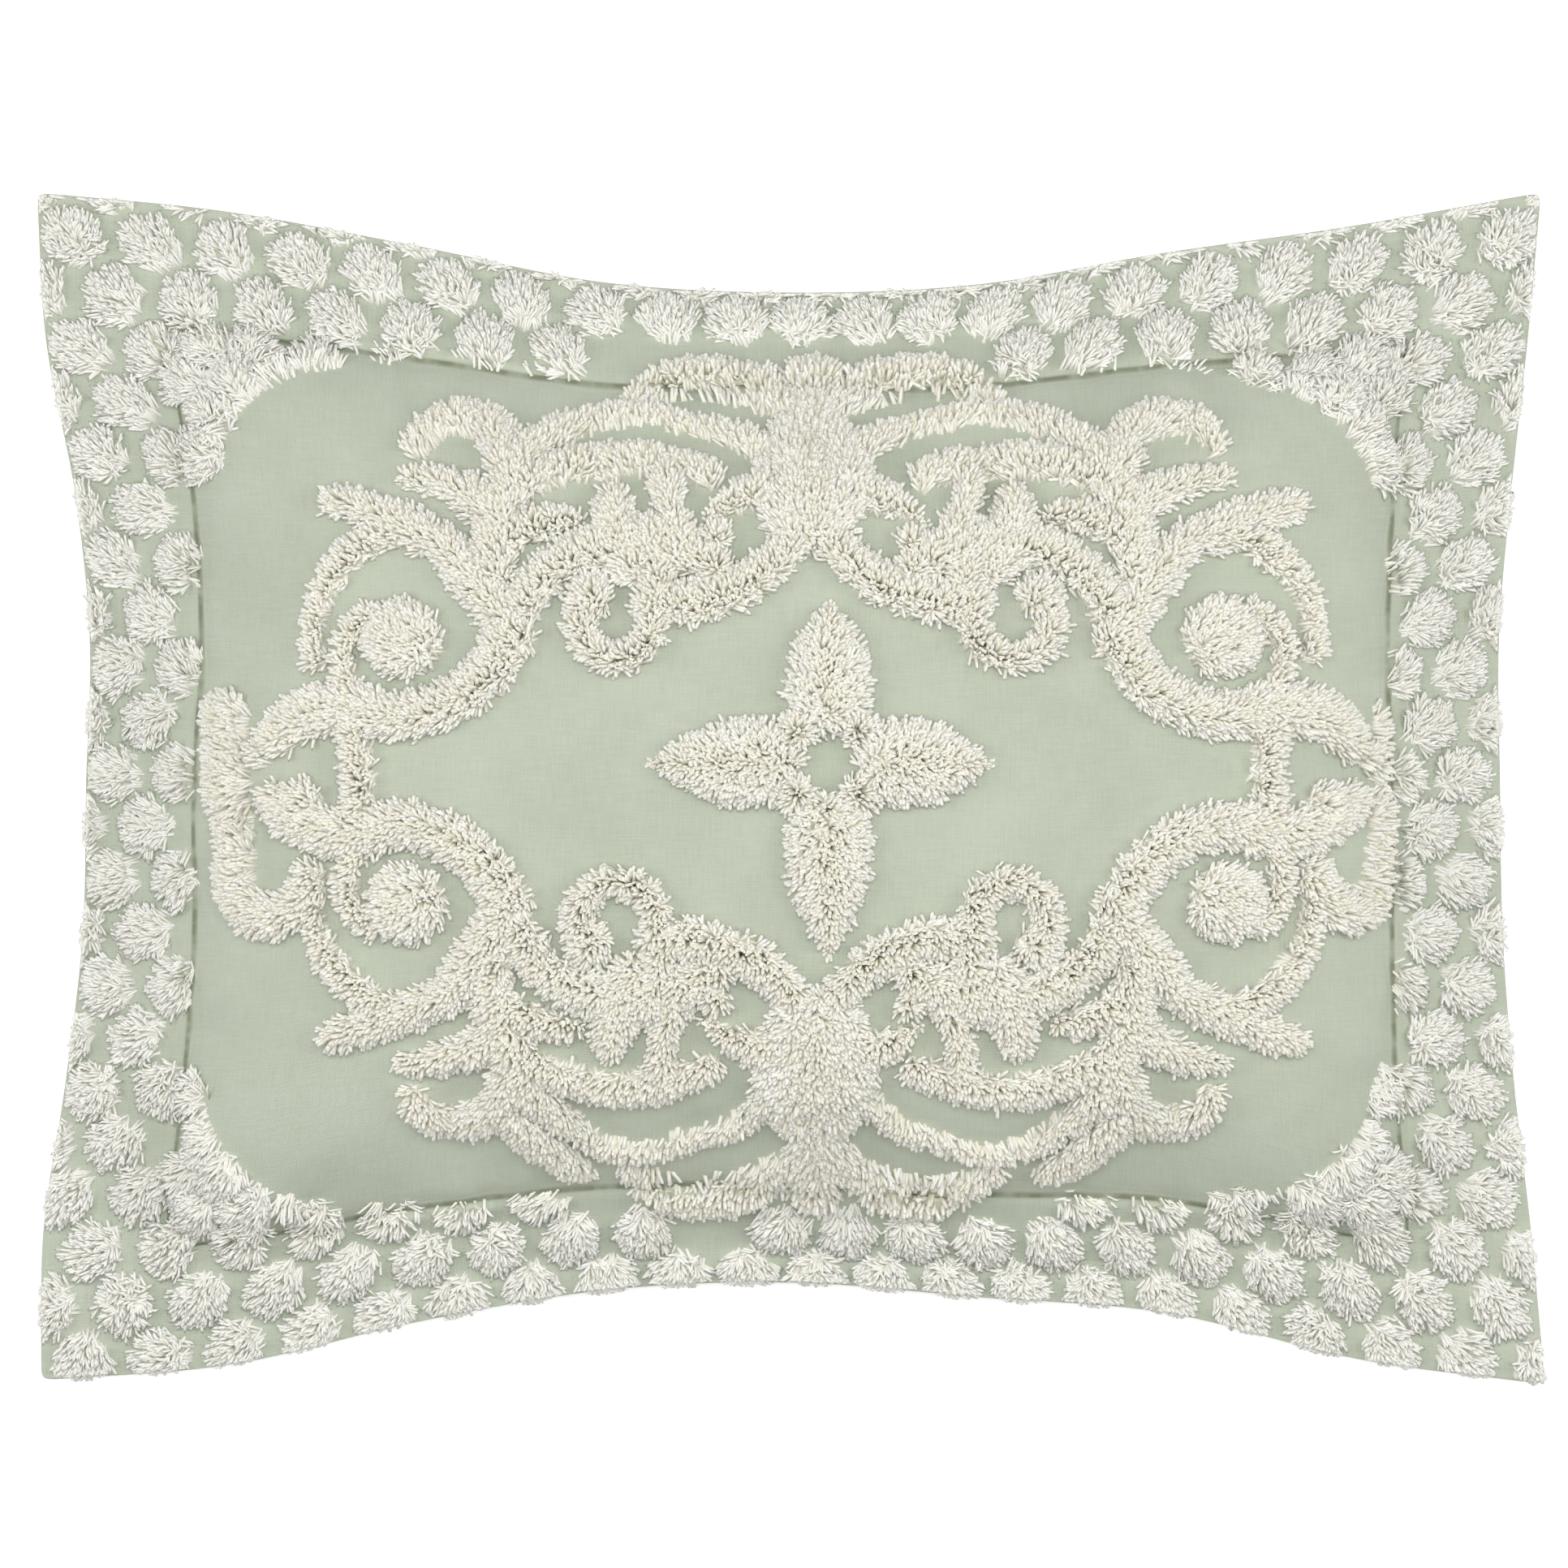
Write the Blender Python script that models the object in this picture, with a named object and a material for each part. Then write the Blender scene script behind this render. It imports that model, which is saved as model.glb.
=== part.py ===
"""A pillow sham with a wide flange, tufted all over its face in chenille, with its pillow inside.

It lies on its back. The origin is the middle of the resting face, +Z is up out of the tufted
face, +X runs along the long side and +Y towards the upper long edge. Units are metres.

The cloth is one cut of cotton, stitched to its back along a seam that leaves a flange all
round, so the whole sham is one closed solid: a crowned, filled body with drawn-in sides and a
thin double flange. The chenille stands on the face as raised pile: round tufts in half-drop
rows on the border, and a scrolled medallion round a four-petalled flower in the middle.
"""

from collections import namedtuple
from math import atan2, cos, hypot, pi, radians, sin, tau

import bmesh
import bpy
import numpy as np

# ---------------------------------------------------------------- driving dimensions
MM = 0.001
CUT_WIDTH = 0.762  # the face as it is cut, hemmed and laid flat
CUT_HEIGHT = 0.610
FLANGE = 0.0635  # from the seam to the folded edge, on the flat cloth
FLANGE_THICKNESS = 0.0022  # two layers of cotton with the hem's turnings between them
CORNER_X = 0.372  # where the flange's corners lie once the pillow is in
CORNER_Y = 0.2935

SIDE_FORESHORTENING = 0.15  # how much narrower the sloping flange looks from above
LONG_EDGE_FORESHORTENING = 0.24

CROWN = 0.066  # the face's rise above the seam, in the middle
FULLNESS_POWER = 2.7
FULLNESS_ROUNDING = 0.56
RESTING_FULLNESS = 0.72  # the back lies flat wherever the pillow is at least this full
BACK_ROUNDING = 1.6
SEAM_HEIGHT = 0.044  # half way along each side
SEAM_CORNER_HEIGHT = 0.016
SEAM_FALL = 1.5  # the higher, the closer to its corners the seam stays up
EDGE_HEIGHT = 0.010  # of the flange's folded edge, half way along each side
EDGE_CORNER_HEIGHT = 0.004
EDGE_WAVE = 0.0016
EDGE_WAVE_S, EDGE_WAVE_T = 0.034, 0.029  # a radian of the folded edge's waves along s and t
EDGE_WAVE_START_S, EDGE_WAVE_START_T = 0.8, 1.3
FLANGE_FALL = 2.0  # the higher, the steeper beside the seam, and the more level at the edge
FLANGE_CORNER = 4  # how squarely the flange turns its corners: 2 is round

PUCKER_HEIGHT = 0.0016
PUCKER_REACH = 0.17  # as a share of the body's half size, on both sides of the seam
PUCKER_END = 1.3  # and none past this share
PUCKER_CORNER = 8  # the higher, the closer to its corners the seam is puckered
# The puckers along each pair of edges: a radian of their waves, and how far and how slowly
# those drift out of step.
Puckers = namedtuple("Puckers", "radian drift drift_radian turn")
SIDE_PUCKERS = Puckers(0.0105, 1.7, 0.061, 1)
LONG_PUCKERS = Puckers(0.0128, 2.1, 0.083, 2)

# How far each edge is drawn in by the filling, at nine even stations from corner to corner:
# left to right along the long edges, and bottom to top along the sides.
DRAW_IN_MM = {
    "top": (0, 9.6, 26.4, 44.4, 49.6, 45.6, 30.0, 16.8, 0),
    "bottom": (1, 9.0, 30.2, 45.8, 49.4, 42.2, 34.4, 12.0, -1),
    "left": (3, 4.5, 15.5, 24.0, 25.5, 27.5, 20.0, 6.0, 1),
    "right": (-1, 6.0, 14.5, 20.0, 21.5, 22.0, 16.0, 8.0, 1),
}

# ---------------------------------------------------------------- the chenille
DOT_PITCH = 0.038  # along a row
DOT_ROW = 0.0277  # from one row to the next, every second row shifted by half a pitch
DOT_RADIUS = 0.0168
DOT_PILE = 0.0080
FIRST_DOT = (-0.345, 0.312)  # on the flat cloth
# The rows stand closer where the seam gathers them: by how much, from bottom to top of the
# sham, they lie left of their even places on the left, and how much further on the right.
GATHER_AT = (-0.28, -0.15, 0.15, 0.28)
GATHER_LEFT = (0.015, 0, 0, 0)
GATHER_RIGHT = (0.019, 0.038, 0.038, 0.029)
GATHER_FROM, GATHER_TO = -0.10, 0.20
PACKING, PACKED_DEPTH = 1.5, 0.06  # rows are this much closer on the pillow's steep corners
PANEL_ROUNDING = 0.135  # corner radius of the plain panel that the border leaves inside it
PILE = 0.0078
PILE_SLOPE = 0.003  # over which the pile falls away at the folded edge and at the plain panel

MEDALLION_CENTRE = (0.012, 0.008)
FLOWER_CENTRE = (0.019, 0.012)
FOOT_STRETCH = 0.36  # the foot of the medallion is this much longer than its head,
FOOT_FROM = 0.150  # from this far below its centre
FOOT_HALF_WIDTH = 0.155
FOOT_FADE = 0.045

# One quarter of the medallion, in millimetres from its centre, outward along the sham and then
# up. The other three mirror it, and a half of 1 or -1 keeps a piece to the upper or lower two.
# Each stroke of pile is an arc through three places, with its half width at each of them.
Stroke = namedtuple("Stroke", "name half start middle end w_start w_middle w_end")
STROKES = (
    Stroke("arch_tail", 0, (240, 55), (238, 84), (222, 106), 7, 7, 9),
    Stroke("arch", 0, (222, 106), (197, 115), (166, 97), 9, 9, 12),
    Stroke("arch_foot", 0, (168, 99), (157, 84), (146, 64), 12, 12, 12),
    Stroke("arch_leaf", 0, (232, 129), (213, 123), (190, 114), 8, 10, 11),
    Stroke("rim_outer", 0, (262, 15), (236, 29), (207, 26), 10, 13, 12),
    Stroke("rim_inner", 0, (212, 26), (173, 33), (149, 64), 12, 12, 12),
    Stroke("ball_tail", 0, (214, 76), (226, 57), (221, 38), 7, 7, 7),
    Stroke("hook", 0, (194, 156), (172, 173), (149, 149), 7, 10, 11),
    Stroke("spur", 0, (198, 140), (178, 137), (154, 126), 6, 9, 12),
    Stroke("scroll_stem", 0, (155, 96), (151, 122), (138, 156), 12, 12, 11),
    Stroke("scroll_sweep", 0, (141, 150), (106, 176), (62, 175), 11, 7, 6),
    Stroke("scroll_end", 0, (66, 175), (40, 168), (17, 152), 6, 7, 10),
    Stroke("inner_leaf", 0, (143, 137), (100, 154), (51, 144), 9, 9, 8),
    Stroke("leaf_stalk", 0, (72, 146), (71, 128), (64, 110), 9, 8, 10),
    Stroke("side_leaf", 0, (152, 110), (134, 120), (116, 123), 10, 9, 6),
    Stroke("paw", 0, (97, 137), (97, 120), (88, 100), 6, 13, 14),
    Stroke("cross_band", 0, (141, 79), (125, 98), (98, 108), 11, 11, 13),
    Stroke("cross_band_end", 0, (98, 108), (72, 107), (46, 98), 14, 14, 9),
    Stroke("curl", 0, (113, 76), (95, 54), (77, 76), 9, 8, 9),
    Stroke("curl_neck", 0, (77, 74), (75, 88), (78, 102), 9, 10, 12),
    Stroke("valley_band", 0, (78, 80), (46, 84), (7, 113), 10, 11, 9),
    Stroke("column", 0, (0, 116), (0, 142), (0, 168), 12, 31, 12),
    Stroke("column_neck", 0, (0, 166), (0, 176), (0, 186), 12, 14, 18),
    Stroke("column_lobe", 0, (52, 122), (38, 130), (20, 135), 4, 8, 12),
    Stroke("crown_leaf", 0, (8, 182), (44, 194), (90, 186), 9, 8, 6),
    Stroke("end_link", 0, (221, 24), (220, 0), (221, -24), 9, 9, 9),
    Stroke("crescent", -1, (290, -28), (287, 4), (281, 44), 13, 12, 10),
    Stroke("crescent_hook", -1, (280, 41), (262, 69), (243, 50), 10, 12, 9),
    Stroke("foot_leaf", -1, (147, 168), (134, 180), (110, 187), 10, 10, 5),
)
# Round spots of pile in the same quarter.
Spot = namedtuple("Spot", "name half centre radius")
SPOTS = (
    Spot("ball", 0, (198, 64), 20),
    Spot("curl_ball", 0, (109, 83), 12),
    Spot("toe", 0, (46, 112), 8),
    Spot("end_lobe", 1, (271, 8), 8),
    Spot("end_node", -1, (249, 17), 12),
)
# The flower's four petals, straight out from its open middle, and the half width of each at
# shares of its length.
Petal = namedtuple("Petal", "heading tip")
PETAL_START_MM = 23
PETALS = (Petal(0, 76), Petal(90, 75), Petal(180, 84), Petal(270, 92))
PETAL_SHARES = (0, 0.20, 0.42, 0.62, 0.80, 1)
PETAL_HALF_WIDTHS_MM = (11, 21.5, 20.5, 15, 9, 3)
PETAL_JOINT_MM, PETAL_JOINT_RADIUS_MM = 15.5, 10  # between neighbouring petals
STROKE_STEP_MM = 2.5  # between the discs of pile that make up a stroke
UNEVENNESS = 0.0012  # how far the tufting strays from its drawn line

GRID_STEP = 0.004
FACES = 11400  # triangles left when the fine grid is thinned
SAGE = (0.55, 0.60, 0.48, 1.0)
CLOTH_ROUGHNESS = 0.9


# ---------------------------------------------------------------- where the cloth lies
def draw_in(edge, share):
    """Metres that an edge is drawn in at share, from -1 at its first corner to 1 at its last."""
    table = np.array(DRAW_IN_MM[edge]) * MM
    place = (np.clip(share, -1, 1) + 1) / 2 * (len(table) - 1)
    k = np.clip(np.floor(place).astype(int), 0, len(table) - 2)
    t = place - k
    slope = np.gradient(table)
    a, b, ma, mb = table[k], table[k + 1], slope[k], slope[k + 1]
    return (
        (2 * t**3 - 3 * t**2 + 1) * a
        + (t**3 - 2 * t**2 + t) * ma
        + (3 * t**2 - 2 * t**3) * b
        + (t**3 - t**2) * mb
    )


def across(flat, cut, low_edge, low_seam, high_seam, high_edge):
    """A flat place along one direction of the cut, carried to where that cloth lies."""
    half = cut / 2
    seam = half - FLANGE
    return np.where(
        flat < -seam,
        low_seam + (flat + seam) / FLANGE * (low_seam - low_edge),
        np.where(
            flat > seam,
            high_seam + (flat - seam) / FLANGE * (high_edge - high_seam),
            low_seam + (flat + seam) / (2 * seam) * (high_seam - low_seam),
        ),
    )


def lay(s, t):
    """The place (x, y), seen from above, of a point (s, t) of the flat face."""
    along, up = s / (CUT_WIDTH / 2), t / (CUT_HEIGHT / 2)
    middle_s, middle_t = np.cos(pi / 2 * along) ** 2, np.cos(pi / 2 * up) ** 2
    side_flange = FLANGE * (1 - SIDE_FORESHORTENING * middle_t)
    long_flange = FLANGE * (1 - LONG_EDGE_FORESHORTENING * middle_s)
    left, right = -CORNER_X + draw_in("left", up), CORNER_X - draw_in("right", up)
    low, high = -CORNER_Y + draw_in("bottom", along), CORNER_Y - draw_in("top", along)
    x = across(s, CUT_WIDTH, left, left + side_flange, right - side_flange, right)
    y = across(t, CUT_HEIGHT, low, low + long_flange, high - long_flange, high)
    return x, y


def body_shares(s, t):
    """How far out a flat point is on the filled body, 1 at the seam, and on the flange, 1 at its edge."""
    a, b = s / (CUT_WIDTH / 2 - FLANGE), t / (CUT_HEIGHT / 2 - FLANGE)
    out_s = np.clip((np.abs(s) - CUT_WIDTH / 2) / FLANGE + 1, 0, 1)
    out_t = np.clip((np.abs(t) - CUT_HEIGHT / 2) / FLANGE + 1, 0, 1)
    out = np.minimum((out_s**FLANGE_CORNER + out_t**FLANGE_CORNER) ** (1 / FLANGE_CORNER), 1)
    return a, b, out


def fullness(a, b):
    """1 in the middle of the pillow and 0 at the seam."""
    a, b = np.minimum(np.abs(a), 1), np.minimum(np.abs(b), 1)
    return ((1 - a**FULLNESS_POWER) * (1 - b**FULLNESS_POWER)) ** FULLNESS_ROUNDING


def seam_height(a, b):
    """Height of the seam, carried inward under the filling and outward under the flange."""
    a, b = np.minimum(np.abs(a), 1), np.minimum(np.abs(b), 1)
    return SEAM_HEIGHT - (SEAM_HEIGHT - SEAM_CORNER_HEIGHT) * (a * b) ** SEAM_FALL


def edge_height(s, t):
    """Height of the folded edge, which comes down to its corners in shallow waves."""
    corner = (np.abs(s) / (CUT_WIDTH / 2) * np.abs(t) / (CUT_HEIGHT / 2)) ** 2
    waves = np.sin(s / EDGE_WAVE_S + EDGE_WAVE_START_S * np.sign(t))
    waves += np.sin(t / EDGE_WAVE_T + EDGE_WAVE_START_T * np.sign(s))
    return EDGE_HEIGHT - (EDGE_HEIGHT - EDGE_CORNER_HEIGHT) * corner + EDGE_WAVE * waves * (1 - corner)


def pucker_waves(along, edge, kind):
    """The puckers' waves at a place along an edge, which is -1 or 1 for its side of the middle."""
    drift = np.sin(along / kind.drift_radian + kind.turn * edge)
    return np.sin(along / kind.radian + kind.drift * drift)


def puckers(s, t, a, b):
    """Short waves that run across the seam, deepest on it and gone a little way off."""
    near_side = np.exp(-(((np.abs(a) - 1) / PUCKER_REACH) ** 2)) * (np.abs(b) < 1)
    near_long = np.exp(-(((np.abs(b) - 1) / PUCKER_REACH) ** 2)) * (np.abs(a) < 1)
    side = near_side * pucker_waves(t, np.sign(s), SIDE_PUCKERS) * (1 - b**PUCKER_CORNER)
    long = near_long * pucker_waves(s, np.sign(t), LONG_PUCKERS) * (1 - a**PUCKER_CORNER)
    inside = (np.abs(a) < PUCKER_END) & (np.abs(b) < PUCKER_END)
    return PUCKER_HEIGHT * (side + long) * inside


def face_height(s, t):
    """Height of the bare cloth of the face."""
    a, b, out = body_shares(s, t)
    seam = seam_height(a, b)
    slope = (1 - (1 - out) ** FLANGE_FALL) * (edge_height(s, t) - seam)
    return seam + FLANGE_THICKNESS + CROWN * fullness(a, b) + slope + puckers(s, t, a, b)


def back_height(s, t):
    """Height of the underside: level on what it rests on, rounded up to the seam, then the flange."""
    a, b, out = body_shares(s, t)
    filled = np.minimum(fullness(a, b) / RESTING_FULLNESS, 1)
    under = seam_height(a, b) * (1 - filled) ** BACK_ROUNDING
    return np.where(out > 0, face_height(s, t) - FLANGE_THICKNESS, under)


# ---------------------------------------------------------------- the raised pile
def arc_point(start, middle, end, t):
    """A place on the arc through three points, at share t of its turn, or on their straight line."""
    (ax, ay), (bx, by), (cx, cy) = start, middle, end
    cross = (bx - ax) * (cy - ay) - (by - ay) * (cx - ax)
    if abs(cross) < 1:
        return ax + (cx - ax) * t, ay + (cy - ay) * t
    b_square = (bx - ax) ** 2 + (by - ay) ** 2
    c_square = (cx - ax) ** 2 + (cy - ay) ** 2
    ox = ax + ((cy - ay) * b_square - (by - ay) * c_square) / (2 * cross)
    oy = ay + ((bx - ax) * c_square - (cx - ax) * b_square) / (2 * cross)
    first = atan2(ay - oy, ax - ox)
    turn = (atan2(cy - oy, cx - ox) - first) % tau
    if cross < 0:
        turn -= tau
    radius = hypot(ax - ox, ay - oy)
    return ox + radius * cos(first + turn * t), oy + radius * sin(first + turn * t)


def discs_of(start, middle, end, widths):
    """The discs (out, up, radius) in metres that a stroke of pile is made of."""
    reach = hypot(middle[0] - start[0], middle[1] - start[1])
    reach += hypot(end[0] - middle[0], end[1] - middle[1])
    count = max(2, round(reach / STROKE_STEP_MM))
    discs = []
    for k in range(count + 1):
        t = k / count
        out, up = arc_point(start, middle, end, t)
        first, mid, last = widths
        half_width = first * (1 - t) * (1 - 2 * t) + mid * 4 * t * (1 - t) + last * t * (2 * t - 1)
        discs.append((out * MM, up * MM, max(half_width, 1) * MM))
    return discs


def quarter_discs(half):
    """The discs of one upper (1) or lower (-1) quarter, drawn outward and up from the centre."""
    discs = []
    for s in STROKES:
        if s.half in (0, half):
            discs += discs_of(s.start, s.middle, s.end, (s.w_start, s.w_middle, s.w_end))
    for s in SPOTS:
        if s.half in (0, half):
            discs.append((s.centre[0] * MM, s.centre[1] * MM, s.radius * MM))
    return discs


def medallion_discs():
    """Every disc (x, y, radius) of the medallion and its flower, seen from above."""
    found = []
    for half in (1, -1):
        for out, up, radius in quarter_discs(half):
            if half < 0:
                share = min(max((FOOT_HALF_WIDTH - out) / FOOT_FADE, 0), 1)
                up += FOOT_STRETCH * max(up - FOOT_FROM, 0) * share
            y = MEDALLION_CENTRE[1] + half * up
            for side in (-1, 1):
                x = MEDALLION_CENTRE[0] + side * out
                stray = UNEVENNESS * sin(x / 0.021 + 2 * sin(y / 0.033))
                found.append((x + stray, y + UNEVENNESS * sin(y / 0.019 - x / 0.03), radius))
    for p in PETALS:
        way = radians(p.heading)
        for share in np.linspace(0, 1, round((p.tip - PETAL_START_MM) / STROKE_STEP_MM) + 1):
            out = (PETAL_START_MM + share * (p.tip - PETAL_START_MM)) * MM
            radius = float(np.interp(share, PETAL_SHARES, PETAL_HALF_WIDTHS_MM)) * MM
            x, y = FLOWER_CENTRE[0] + out * cos(way), FLOWER_CENTRE[1] + out * sin(way)
            found.append((x, y, radius))
    for x_side, y_side in ((-1, -1), (-1, 1), (1, -1), (1, 1)):
        x = FLOWER_CENTRE[0] + x_side * PETAL_JOINT_MM * MM
        y = FLOWER_CENTRE[1] + y_side * PETAL_JOINT_MM * MM
        found.append((x, y, PETAL_JOINT_RADIUS_MM * MM))
    return found


def past_panel(s, t):
    """How far a flat point lies outside the plain panel, and less than 0 inside it."""
    half_s, half_t = CUT_WIDTH / 2 - FLANGE, CUT_HEIGHT / 2 - FLANGE
    over_s = np.abs(s) - half_s + PANEL_ROUNDING
    over_t = np.abs(t) - half_t + PANEL_ROUNDING
    corner = np.hypot(np.maximum(over_s, 0), np.maximum(over_t, 0))
    return corner + np.minimum(np.maximum(over_s, over_t), 0) - PANEL_ROUNDING


def packed(place, seam):
    """An even place across the pillow, moved to where its steep sides crowd the tufts."""
    inside = max(seam - abs(place), 0)
    moved = seam - max(inside / PACKING, inside - PACKED_DEPTH / 2)
    return moved if place > 0 else -moved


def dot_centres():
    """Centres of the border's round tufts on the flat face, in half-drop rows round the panel."""
    centres = []
    discs = [d for d in medallion_discs() if abs(d[1]) > CUT_HEIGHT / 4]
    for row in range(int(CUT_HEIGHT / DOT_ROW) + 2):
        even_t = FIRST_DOT[1] - row * DOT_ROW
        for column in range(-1, int(CUT_WIDTH / DOT_PITCH) + 4):
            even_s = FIRST_DOT[0] + (column - 0.5 * (row % 2)) * DOT_PITCH
            share = min(max((even_s - GATHER_FROM) / (GATHER_TO - GATHER_FROM), 0), 1)
            s = even_s - float(np.interp(even_t, GATHER_AT, GATHER_LEFT))
            s -= float(np.interp(even_t, GATHER_AT, GATHER_RIGHT)) * share * share * (3 - 2 * share)
            t = even_t
            if abs(s) < CUT_WIDTH / 2 - FLANGE and abs(t) < CUT_HEIGHT / 2 - FLANGE:
                s, t = packed(s, CUT_WIDTH / 2 - FLANGE), packed(t, CUT_HEIGHT / 2 - FLANGE)
            if past_panel(s, t) < -DOT_RADIUS / 2 or abs(s) > CUT_WIDTH / 2 + DOT_RADIUS / 2:
                continue
            x, y = lay(np.array(s), np.array(t))
            if all(hypot(x - cx, y - cy) > radius + DOT_RADIUS / 2 for cx, cy, radius in discs):
                centres.append((s, t))
    return centres


def pile_height(s, t, x, y):
    """How high the chenille stands above the cloth."""
    scrolls, dots = np.zeros_like(s), np.zeros_like(s)
    for cx, cy, radius in medallion_discs():
        share = np.minimum(((x - cx) ** 2 + (y - cy) ** 2) / radius**2, 1)
        scrolls = np.maximum(scrolls, PILE * np.sqrt(1 - share**2))
    for cs, ct in dot_centres():
        share = np.minimum(((s - cs) ** 2 + (t - ct) ** 2) / DOT_RADIUS**2, 1)
        dots = np.maximum(dots, DOT_PILE * np.sqrt(1 - share))
    scrolls *= np.clip((CUT_WIDTH / 2 - FLANGE - np.abs(s)) / PILE_SLOPE, 0, 1)
    dots *= np.clip(past_panel(s, t) / PILE_SLOPE, 0, 1)
    to_edge = np.minimum(CUT_WIDTH / 2 - np.abs(s), CUT_HEIGHT / 2 - np.abs(t))
    return np.maximum(scrolls, dots) * np.clip(to_edge / PILE_SLOPE, 0, 1)


# ---------------------------------------------------------------- the solid
def cloth_grid(name):
    """A bmesh with the flat face as a fine grid, and that grid's vertices as two arrays."""
    mesh = bmesh.new()
    bmesh.ops.create_grid(
        mesh,
        x_segments=round(CUT_WIDTH / GRID_STEP),
        y_segments=round(CUT_HEIGHT / GRID_STEP),
        size=0.5,
    )
    for vertex in mesh.verts:
        vertex.co.x *= CUT_WIDTH
        vertex.co.y *= CUT_HEIGHT
    flat = np.array([v.co[:2] for v in mesh.verts])
    return mesh, flat[:, 0], flat[:, 1]


def make_sham(material):
    """Face and back on the same fine grid, joined round the folded edge, then thinned."""
    mesh, s, t = cloth_grid("sham")
    face_verts = list(mesh.verts)
    copied = bmesh.ops.duplicate(mesh, geom=mesh.verts[:] + mesh.edges[:] + mesh.faces[:])
    back_faces = [g for g in copied["geom"] if isinstance(g, bmesh.types.BMFace)]
    back_of = copied["vert_map"]
    x, y = lay(s, t)
    top = face_height(s, t) + pile_height(s, t, x, y)
    under = back_height(s, t)
    x -= (x.min() + x.max()) / 2
    y -= (y.min() + y.max()) / 2
    for k, vertex in enumerate(face_verts):
        vertex.co = (x[k], y[k], top[k])
        back_of[vertex].co = (x[k], y[k], under[k])
    bmesh.ops.reverse_faces(mesh, faces=back_faces)
    rim = [e for e in mesh.edges if e.is_boundary]
    bmesh.ops.bridge_loops(mesh, edges=rim)
    bmesh.ops.recalc_face_normals(mesh, faces=mesh.faces[:])
    bmesh.ops.triangulate(mesh, faces=mesh.faces[:])
    whole = len(mesh.faces)

    data = bpy.data.meshes.new("sham")
    mesh.to_mesh(data)
    mesh.free()
    data.materials.append(material)
    sham = bpy.data.objects.new("sham", data)
    bpy.context.scene.collection.objects.link(sham)
    thin = sham.modifiers.new("thin", "DECIMATE")
    thin.ratio = FACES / whole
    return sham


def sage_cotton():
    material = bpy.data.materials.new("sage_cotton")
    material.use_nodes = True
    shader = material.node_tree.nodes["Principled BSDF"]
    shader.inputs["Base Color"].default_value = SAGE
    shader.inputs["Roughness"].default_value = CLOTH_ROUGHNESS
    shader.inputs["Metallic"].default_value = 0.0
    return material


for old in list(bpy.data.objects):
    bpy.data.objects.remove(old)
make_sham(sage_cotton())
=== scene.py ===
"""Looks for a filled pillow sham: sage cotton with a wide flange, tufted in ivory chenille.

The script runs from top to bottom and follows the sham as it is made: the cotton cover on its
pillow, the stitched seam, the chenille border, the medallion and its flower, and then the
studio. Units are metres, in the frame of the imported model.
"""

from collections import namedtuple
from math import atan2, ceil, cos, hypot, pi, radians, sin, sqrt, tau

import bpy
import numpy as np
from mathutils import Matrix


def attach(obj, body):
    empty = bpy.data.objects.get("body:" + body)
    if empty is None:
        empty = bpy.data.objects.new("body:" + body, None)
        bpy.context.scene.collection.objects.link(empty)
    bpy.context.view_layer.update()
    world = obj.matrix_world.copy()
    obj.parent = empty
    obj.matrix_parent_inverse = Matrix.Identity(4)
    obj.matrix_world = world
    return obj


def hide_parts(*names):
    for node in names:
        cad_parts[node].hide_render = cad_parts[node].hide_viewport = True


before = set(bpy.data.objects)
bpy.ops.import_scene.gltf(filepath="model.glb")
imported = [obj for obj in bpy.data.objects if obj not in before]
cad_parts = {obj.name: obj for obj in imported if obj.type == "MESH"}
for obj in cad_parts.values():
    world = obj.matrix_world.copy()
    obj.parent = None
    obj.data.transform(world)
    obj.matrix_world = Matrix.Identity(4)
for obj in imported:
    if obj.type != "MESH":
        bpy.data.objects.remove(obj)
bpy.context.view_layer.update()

# ---------------------------------------------------------------- the cover on its pillow
# Face and back are cut alike from plain sage cotton and joined at the folded outer edge. A
# seam a flange's width in holds the pillow, which crowns the middle and draws the edges in.
MM = 0.001
CUT_WIDTH, CUT_HEIGHT = 0.762, 0.610
FLANGE, FLANGE_THICKNESS = 0.0635, 0.0022
SEAM_S, SEAM_T = CUT_WIDTH / 2 - FLANGE, CUT_HEIGHT / 2 - FLANGE
CORNER_X, CORNER_Y = 0.372, 0.2935
SIDE_FORESHORTENING, LONG_EDGE_FORESHORTENING = 0.15, 0.24
CROWN, FULLNESS_POWER, FULLNESS_ROUNDING = 0.066, 2.7, 0.56
RESTING_FULLNESS, BACK_ROUNDING = 0.72, 1.6
SEAM_HEIGHT, SEAM_CORNER_HEIGHT, SEAM_FALL = 0.044, 0.016, 1.5
EDGE_HEIGHT, EDGE_CORNER_HEIGHT = 0.010, 0.004
EDGE_WAVE, EDGE_WAVE_S, EDGE_WAVE_T = 0.0016, 0.034, 0.029
EDGE_WAVE_START_S, EDGE_WAVE_START_T = 0.8, 1.3
FLANGE_FALL, FLANGE_CORNER = 2.0, 4
SEAM_DIP, SEAM_DIP_WIDTH = 0.0032, 0.0019

# How far the filling draws each edge in, at nine even stations from corner to corner: left to
# right along the long edges, and bottom to top along the sides.
DRAW_IN_MM = {
    "top": (0, 9.6, 26.4, 44.4, 49.6, 45.6, 30.0, 16.8, 0),
    "bottom": (1, 9.0, 30.2, 45.8, 49.4, 42.2, 34.4, 12.0, -1),
    "left": (3, 4.5, 15.5, 24.0, 25.5, 27.5, 20.0, 6.0, 1),
    "right": (-1, 6.0, 14.5, 20.0, 21.5, 22.0, 16.0, 8.0, 1),
}


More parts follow.
